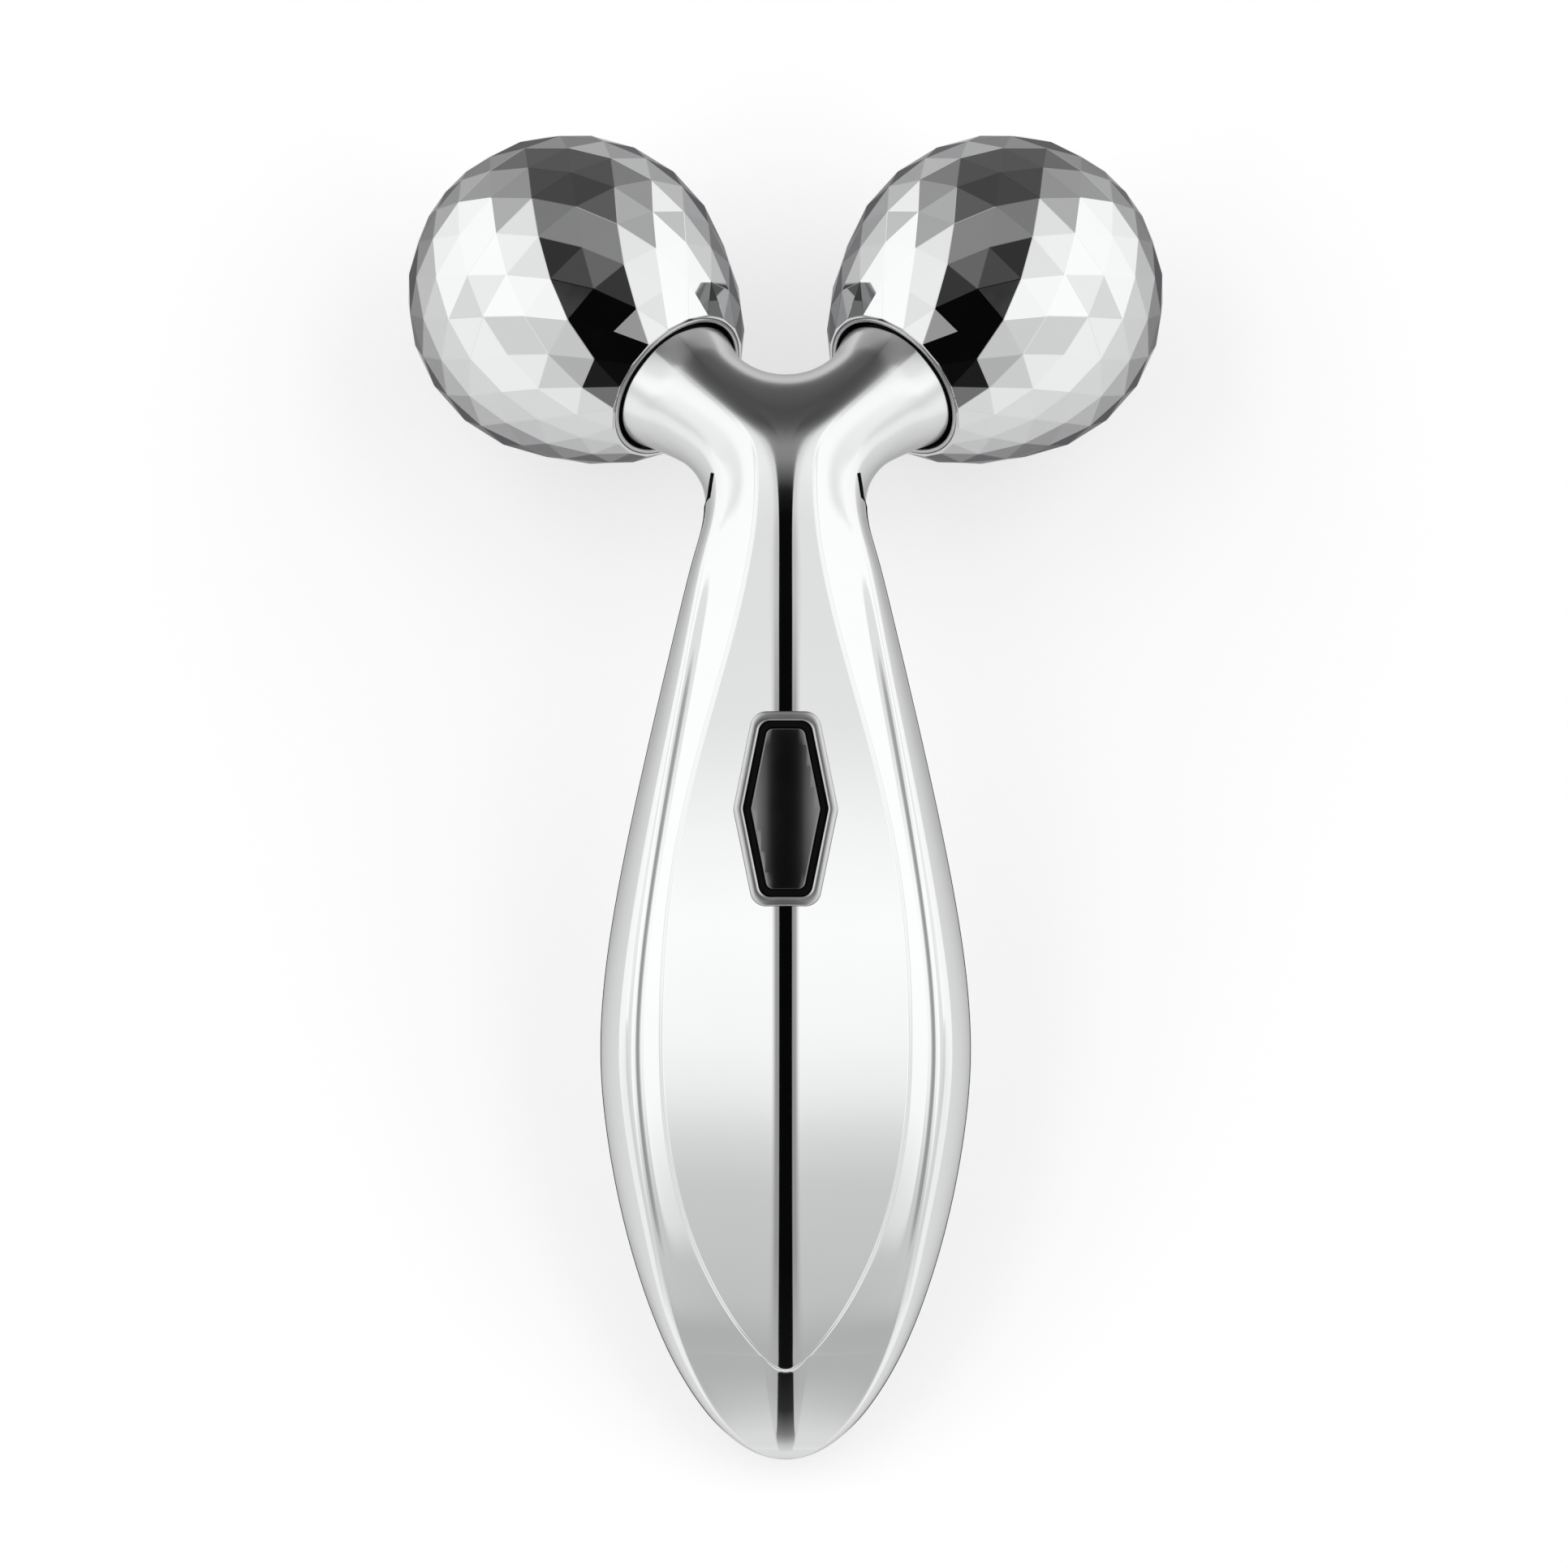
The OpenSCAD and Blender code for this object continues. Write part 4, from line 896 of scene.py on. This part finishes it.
# %% [markdown]
# A split edge would shade as a crease. So every outer point keeps the direction that
# the unsplit skin has there. The walls and the edge of the pocket keep their own.

# %% Shading that runs on over the parting line
ON_SKIN = 0.2 * MM
SAME_WAY = 0.6
skin_mesh = skin.data
skin_tree = BVHTree.FromPolygons([v.co for v in skin_mesh.vertices], [p.vertices for p in skin_mesh.polygons])


def skin_direction(point):
    """The skin's own smooth direction at a point on it, or None off the skin."""
    spot, _, index, away = skin_tree.find_nearest(point)
    if away > ON_SKIN:
        return None
    corners = skin_mesh.polygons[index].vertices
    shares = poly_3d_calc([skin_mesh.vertices[v].co for v in corners], spot)
    return sum((skin_mesh.vertices[v].normal * t for v, t in zip(corners, shares)), Vector()).normalized()


def keep_shading(obj):
    mesh = obj.data
    directions = [skin_direction(v.co) for v in mesh.vertices]
    wanted = [Vector()] * len(mesh.loops)
    for face in mesh.polygons:
        for k in face.loop_indices:
            own = directions[mesh.loops[k].vertex_index]
            if own is not None and own.dot(face.normal) > SAME_WAY:
                wanted[k] = own
    mesh.normals_split_custom_set(wanted)
    return sum(1 for own in wanted if own.length > 0)


print("points with a direction", len(skin_mesh.vertices))

# %% [markdown]
# ## The window
# A lozenge window lies in the leaf: a bright bezel, a black sealing ring and a smoked,
# crowned glass. They share one outline, so the lozenge is drawn once and drawn in for
# each ring, with corners that get tighter towards the glass.

# %% The lozenge
WINDOW_Y, BEZEL_W, BEZEL_L, BEZEL_FLAT = 80.3, 12.9, 24, 8
CORNER_R, CORNER_TIGHTER = 2, 0.5
CORNER_STEPS, SIDE_STEPS = 8, 6


def lozenge(inset):
    """The bezel's outline drawn in by a distance, with rounded corners."""
    w, l, f = BEZEL_W / 2, BEZEL_L / 2, BEZEL_FLAT / 2
    radius = CORNER_R - CORNER_TIGHTER * max(0, inset)
    side = Vector((l, w - f)).normalized()
    tip = w - inset / side.x
    flat = (side.x * w - inset - side.y * (l - inset)) / side.x
    corners = [Vector(c) for c in ((tip, 0), (flat, l - inset), (-flat, l - inset), (-tip, 0),
                                   (-flat, inset - l), (flat, inset - l))]
    outline = []
    for k, corner in enumerate(corners):
        u = (corners[k - 1] - corner).normalized()
        v = (corners[(k + 1) % len(corners)] - corner).normalized()
        half = u.angle(v) / 2
        centre = corner + (u + v).normalized() * radius / math.sin(half)
        start = corner + u * radius / math.tan(half) - centre
        stop = corner + v * radius / math.tan(half) - centre
        outline.append([centre + start.lerp(stop, n / CORNER_STEPS).normalized() * radius
                        for n in range(CORNER_STEPS + 1)])
    points = []
    for arc, following in zip(outline, outline[1:] + outline[:1]):
        points += arc
        points += [arc[-1].lerp(following[0], n / (SIDE_STEPS + 1)) for n in range(1, SIDE_STEPS + 1)]
    return points


print("lozenge points", len(lozenge(0)))

# %% [markdown]
# The window follows the handle's bow along its length. Across it, the bezel's edge
# follows the leaf's flanks, its face has a wide crown and the glass a rounder one.

# %% The heights of the window's rings
LENS_R, FACE_R = 16, 24
window_lean = Matrix.Rotation(-math.atan((WINDOW_Y - BOW_Y) / BOW_R), 4, "X")
window_place = to_model @ Matrix.Translation((0, WINDOW_Y, crown_z(WINDOW_Y) + LEAF_STEP)) @ window_lean


def window_bow(y):
    return y * y / (2 * BOW_R)


def crown_fall(x):
    return LENS_R - math.sqrt(LENS_R ** 2 - x ** 2)


def level(inset, height):
    return [Vector((p.x, p.y, height)) for p in lozenge(inset)]


def bowed(inset, height, fall):
    return [Vector((p.x, p.y, height - window_bow(p.y) - fall(p.x))) for p in lozenge(inset)]


def on_flanks(inset, height):
    return bowed(inset, height, lambda x: leaf_fall(abs(x)))


def on_face(inset, height):
    return bowed(inset, height, lambda x: x ** 2 / (2 * FACE_R))


def on_crown(inset, height):
    return bowed(inset, height, crown_fall)


print("glass crown", round(crown_fall(BEZEL_W / 2 - 2), 2), "mm")

# %% [markdown]
# The bezel and the sealing ring are closed rings: a loop is extruded from loop to loop
# over the ring's profile and the last loop is bridged to the first. Edges that turn by
# more than a set angle stay sharp.

# %% Make a ring of loops
SHARP = math.radians(38)


def shaded(bm, name, paint, place):
    """Smooths all but the sharp edges and places the mesh."""
    for f in bm.faces:
        f.smooth = True
    for e in bm.edges:
        e.smooth = len(e.link_faces) == 2 and e.calc_face_angle(0) < SHARP
    bmesh.ops.transform(bm, matrix=place, verts=bm.verts)
    return object_of(bm, name, [paint])


def ring_of(loops, name, paint, place):
    """A closed ring through loops of equal length, the last joined to the first."""
    bm = bmesh.new()
    chain = [bm.verts.new(p) for p in loops[0]]
    first = edges = chain_edges(bm, chain, True)
    for points in loops[1:]:
        chain = extrude_row(bm, chain, edges, points, lambda k: 0)
        edges = chain_edges(bm, chain, True)
    bmesh.ops.bridge_loops(bm, edges=first + edges)
    bmesh.ops.recalc_face_normals(bm, faces=bm.faces)
    return shaded(bm, name, paint, place)


print("edges stay sharp above", round(math.degrees(SHARP)), "degrees")

# %% [markdown]
# The bezel stands in a pocket, and its face is rounded over, as polishing leaves it. The
# rubber ring lies a little lower between bezel and glass. A place in a profile is a
# distance drawn in from the outline and a height.

# %% Bezel and sealing ring
GASKET_IN, LENS_IN, RING_PLAY, RING_EDGE = 1.15, 2.05, 0.03, 0.12
BEZEL_FLOOR, SEAL_FLOOR = -3.6, -2.1
BEZEL_FACE = [(0, 0.02), (0.05, 0.13), (0.17, 0.2), (0.4, 0.24), (0.75, 0.23), (1, 0.16), (1.11, 0.05)]
SEAL_FACE = [(GASKET_IN + RING_PLAY, -0.34), (GASKET_IN + RING_EDGE, -0.22), (1.6, -0.17),
             (LENS_IN - RING_EDGE, -0.22), (LENS_IN - RING_PLAY, -0.34)]
bezel = ring_of([level(0, BEZEL_FLOOR), on_flanks(0, -0.1)] + [on_face(*spot) for spot in BEZEL_FACE]
                + [on_crown(GASKET_IN, -0.25), level(GASKET_IN, BEZEL_FLOOR)],
                "window_bezel_ring", plated_trim, window_place)
seal = ring_of([level(GASKET_IN + RING_PLAY, SEAL_FLOOR)] + [on_crown(*spot) for spot in SEAL_FACE]
               + [level(LENS_IN - RING_PLAY, SEAL_FLOOR)],
               "window_seal", finishes["black_rubber"], window_place)
for piece, node, slot in ((bezel, "window_bezel", "plated_trim"), (seal, "window_gasket", "black_rubber")):
    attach(piece, "handle")
    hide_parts(node)
print("bezel faces", len(bezel.data.polygons), "seal faces", len(seal.data.polygons))

# %% [markdown]
# The glass is a lozenge block with a bevelled rim. A single face can't be crowned, so
# the block is sliced first, and then its upper points are bent down to the crown.

# %% The crowned glass
LENS_FLOOR, LENS_TOP, LENS_BEVEL = -2.0, -0.12, 0.22


def lozenge_block(inset, low, high):
    bm = bmesh.new()
    face = bm.faces.new([bm.verts.new(p) for p in level(inset, low)])
    raised = bmesh.ops.extrude_face_region(bm, geom=[face])["geom"]
    raised = [g for g in raised if isinstance(g, bmesh.types.BMVert)]
    bmesh.ops.translate(bm, vec=(0, 0, high - low), verts=raised)
    bmesh.ops.recalc_face_normals(bm, faces=bm.faces)
    return bm


def slice_block(bm, direction, spacing, count):
    """Slices a block at its middle and at evenly spaced places on both sides of it."""
    for step in range(-count, count + 1):
        bmesh.ops.bisect_plane(bm, geom=bm.verts[:] + bm.edges[:] + bm.faces[:],
                               plane_co=direction * (step * spacing), plane_no=direction, dist=1e-5)


bm = lozenge_block(LENS_IN, LENS_FLOOR, LENS_TOP)
rim = [e for e in bm.edges if all(v.co.z > LENS_FLOOR / 2 for v in e.verts)]
bmesh.ops.bevel(bm, geom=rim, offset=LENS_BEVEL, offset_type="OFFSET", segments=4, profile=0.5,
                affect="EDGES", material=-1)
slice_block(bm, right_way, spacing=0.5, count=8)
slice_block(bm, Vector((0, 1, 0)), spacing=2.6, count=3)
for v in bm.verts:
    if v.co.z > LENS_FLOOR / 2:
        v.co.z -= window_bow(v.co.y) + crown_fall(v.co.x)
glass = shaded(bm, "window_glass", finishes["smoked_lens"], window_place)
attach(glass, "handle")
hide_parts("window_lens")
print("glass faces", len(glass.data.polygons))

# %% [markdown]
# The pocket for the window is cut through the front shell with a block of the same
# lozenge, a hair wider than the bezel. After the cut both shells take on the skin's
# shading.

# %% Cut the pocket and finish the shells
POCKET_PLAY, POCKET_FLOOR, POCKET_TOP = 0.02, -7, 3
bm = lozenge_block(-POCKET_PLAY, POCKET_FLOOR, POCKET_TOP)
bmesh.ops.transform(bm, matrix=window_place, verts=bm.verts)
cutter = object_of(bm, "pocket_cutter")
pocket = front.modifiers.new("pocket", "BOOLEAN")
pocket.operation = "DIFFERENCE"
pocket.solver = "EXACT"
pocket.object = cutter
applied(front)
bpy.data.objects.remove(cutter)
for half, node in ((front, "front_shell"), (rear, "rear_shell")):
    print(half.name, "keeps", keep_shading(half), "corner directions of", len(half.data.loops))
    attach(half, "handle")
    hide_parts(node)

# %% [markdown]
# ## The parting line
# Where the two shells meet, a fine dark seam runs from one side of the neck round the
# tail to the other. It ends in a short hook on either side of the neck. Its darkness is
# shade in the narrow groove between the shells. A groove this fine would need a very
# dense mesh, so the seam is a black bead a fifth of a millimetre thick that lies in the
# joint, and its black is painted shade for the groove's shadow. Its points are the ones
# that both shells share.

# %% The way of the seam
SEAM_TOP_Y = 117.6
SEAM_SINK, TAIL_SHIFT, TAIL_SHIFT_RUN = 0.05, 0.18, 6
HOOK = ((9.0, 121.6), (9.12, 120.9), (9.3, 119.8), (9.45, 118.7))
to_handle = to_model.inverted()
edge_points = []
bm = copy_of(skin.data)
for e in bm.edges:
    if len(e.link_faces) == 2 and e.link_faces[0].material_index != e.link_faces[1].material_index:
        edge_points += [to_handle @ v.co for v in e.verts]
bm.free()
ridge = sorted({(round(p.y, 3), round(p.x, 3), round(p.z, 3)) for p in edge_points
                if p.x > 0.05 and p.y < SEAM_TOP_Y}, reverse=True)


def skin_height(x, y):
    """Height of the skin's front over a place in the handle's frame."""
    down = (to_model.to_3x3() @ Vector((0, 0, -1))).normalized()
    spot, _, _, _ = skin_tree.ray_cast(to_model @ Vector((x, y, 60)), down)
    return (to_handle @ spot).z


right_side = [Vector((x, y, skin_height(x, y))) for x, y in HOOK]
right_side += [Vector((x - SEAM_SINK, y + TAIL_SHIFT * (1 - ease(y / TAIL_SHIFT_RUN)), z))
               for y, x, z in ridge]
seam_way = right_side + [Vector((-p.x, p.y, p.z)) for p in reversed(right_side)]
print("seam points", len(seam_way))

# %% [markdown]
# The bead is drawn as a curve with a round bevel, because a curve keeps its thickness
# round every bend. It swells towards the hooks, which are the widest part of the seam.

# %% Lay the seam bead
SEAM_R, HOOK_SWELL, SWELL_Y, SWELL_RUN = 0.1, 2.4, 114, 5
line = bpy.data.curves.new("seam", "CURVE")
line.dimensions = "3D"
line.bevel_depth = SEAM_R * MM
line.bevel_resolution = 2
line.use_fill_caps = True
spline = line.splines.new("POLY")
spline.points.add(len(seam_way) - 1)
for point, p in zip(spline.points, seam_way):
    point.co = (*(to_model @ p), 1)
    point.radius = 1 + (HOOK_SWELL - 1) * clamp((p.y - SWELL_Y) / SWELL_RUN)
drawn = in_scene("seam_curve", line)
seam_mesh = bpy.data.meshes.new_from_object(drawn.evaluated_get(bpy.context.evaluated_depsgraph_get()))
bpy.data.objects.remove(drawn)
bm = copy_of(seam_mesh)
for f in bm.faces:
    f.smooth = True
# The black rubber finish on the bead is painted shade: it stands for the shadow inside the parting groove.
seam = object_of(bm, "parting_seam_shadow", [finishes["black_rubber"]])
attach(seam, "handle")
print("seam faces", len(seam.data.polygons))

# %% [markdown]
# ## The faceted balls
# Each ball is a plated skin of flat triangles, and every triangle mirrors one spot of
# the room. An icosphere could stand in for it, but the CAD ball has the right corners
# and the bore. So its merged copy is kept, and only the facet edges are broken by a
# hair, as plating leaves them.

# %% Facets with a broken edge
SAME_FACE, FACET_TURN = math.radians(0.4), math.radians(3)
OUTSIDE_R, EDGE_BREAK = 19.4 * MM, 0.05 * MM
for side_name, flip in (("left", -1), ("right", 1)):
    centre = Vector((flip * spin_at.x, spin_at.y, spin_at.z))
    bm = copy_of(nodes[f"ball_shell_{side_name}"].data)
    bmesh.ops.remove_doubles(bm, verts=bm.verts, dist=1e-6)
    bmesh.ops.dissolve_limit(bm, angle_limit=SAME_FACE, verts=bm.verts, edges=bm.edges)
    outer = [e for e in bm.edges if len(e.link_faces) == 2 and e.calc_face_angle(0) > FACET_TURN
             and min((v.co - centre).length for v in e.verts) > OUTSIDE_R]
    bmesh.ops.bevel(bm, geom=outer, offset=EDGE_BREAK, offset_type="OFFSET", segments=1, profile=0.5,
                    affect="EDGES", material=-1)
    for f in bm.faces:
        f.smooth = False
    ball = object_of(bm, f"faceted_ball_{side_name}", [plated_ball])
    if "custom_normal" in ball.data.attributes:
        ball.data.attributes.remove(ball.data.attributes["custom_normal"])
    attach(ball, f"{side_name}_roller")
    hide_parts(f"ball_shell_{side_name}")
    print(ball.name, len(outer), "edges broken,", len(ball.data.polygons), "faces")

# %% [markdown]
# ## The rim rings
# A smooth bright ring lines the mouth of each ball. Its lip is rounded, so it catches a
# thin line of light. A torus would only give the lip, so a closed profile is spun round
# the axle. The lip's points are shares of the wall and of its height.

# %% Spin the rims
RIM_R, RIM_WALL, RIM_MOUTH, RIM_DEEP, LIP_HEIGHT = 9.75, 0.6, 21.35, 26.3, 0.25
LIP = [(0, 1), (0.1, 0.42), (0.26, 0.12), (0.5, 0), (0.74, 0.12), (0.9, 0.42), (1, 1)]
for side_name, flip in (("left", -1), ("right", 1)):
    bm = bmesh.new()
    profile = [(RIM_R, RIM_DEEP)]
    profile += [(RIM_R - t * RIM_WALL, RIM_MOUTH + LIP_HEIGHT * drop) for t, drop in LIP]
    profile.append((RIM_R - RIM_WALL, RIM_DEEP))
    spots = [bm.verts.new(fork_pt + s * arm_dir + r * arm_out) for r, s in profile]
    edges = chain_edges(bm, spots, True)
    bmesh.ops.spin(bm, geom=spots + edges, cent=fork_pt, axis=arm_dir, dvec=(0, 0, 0), angle=2 * math.pi,
                   steps=128, use_merge=True, use_duplicate=False)
    bmesh.ops.remove_doubles(bm, verts=bm.verts, dist=1e-4)
    bmesh.ops.scale(bm, vec=(flip, 1, 1), verts=bm.verts)
    bmesh.ops.recalc_face_normals(bm, faces=bm.faces)
    rim_ring = shaded(bm, f"rim_ring_{side_name}", plated_trim, to_model)
    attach(rim_ring, f"{side_name}_roller")
    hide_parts(f"ball_rim_{side_name}")
    print(rim_ring.name, len(rim_ring.data.polygons), "faces")

# %% [markdown]
# ## The end
# The unsplit skin goes.

# %% The end: drop the unsplit skin
bpy.data.objects.remove(skin)
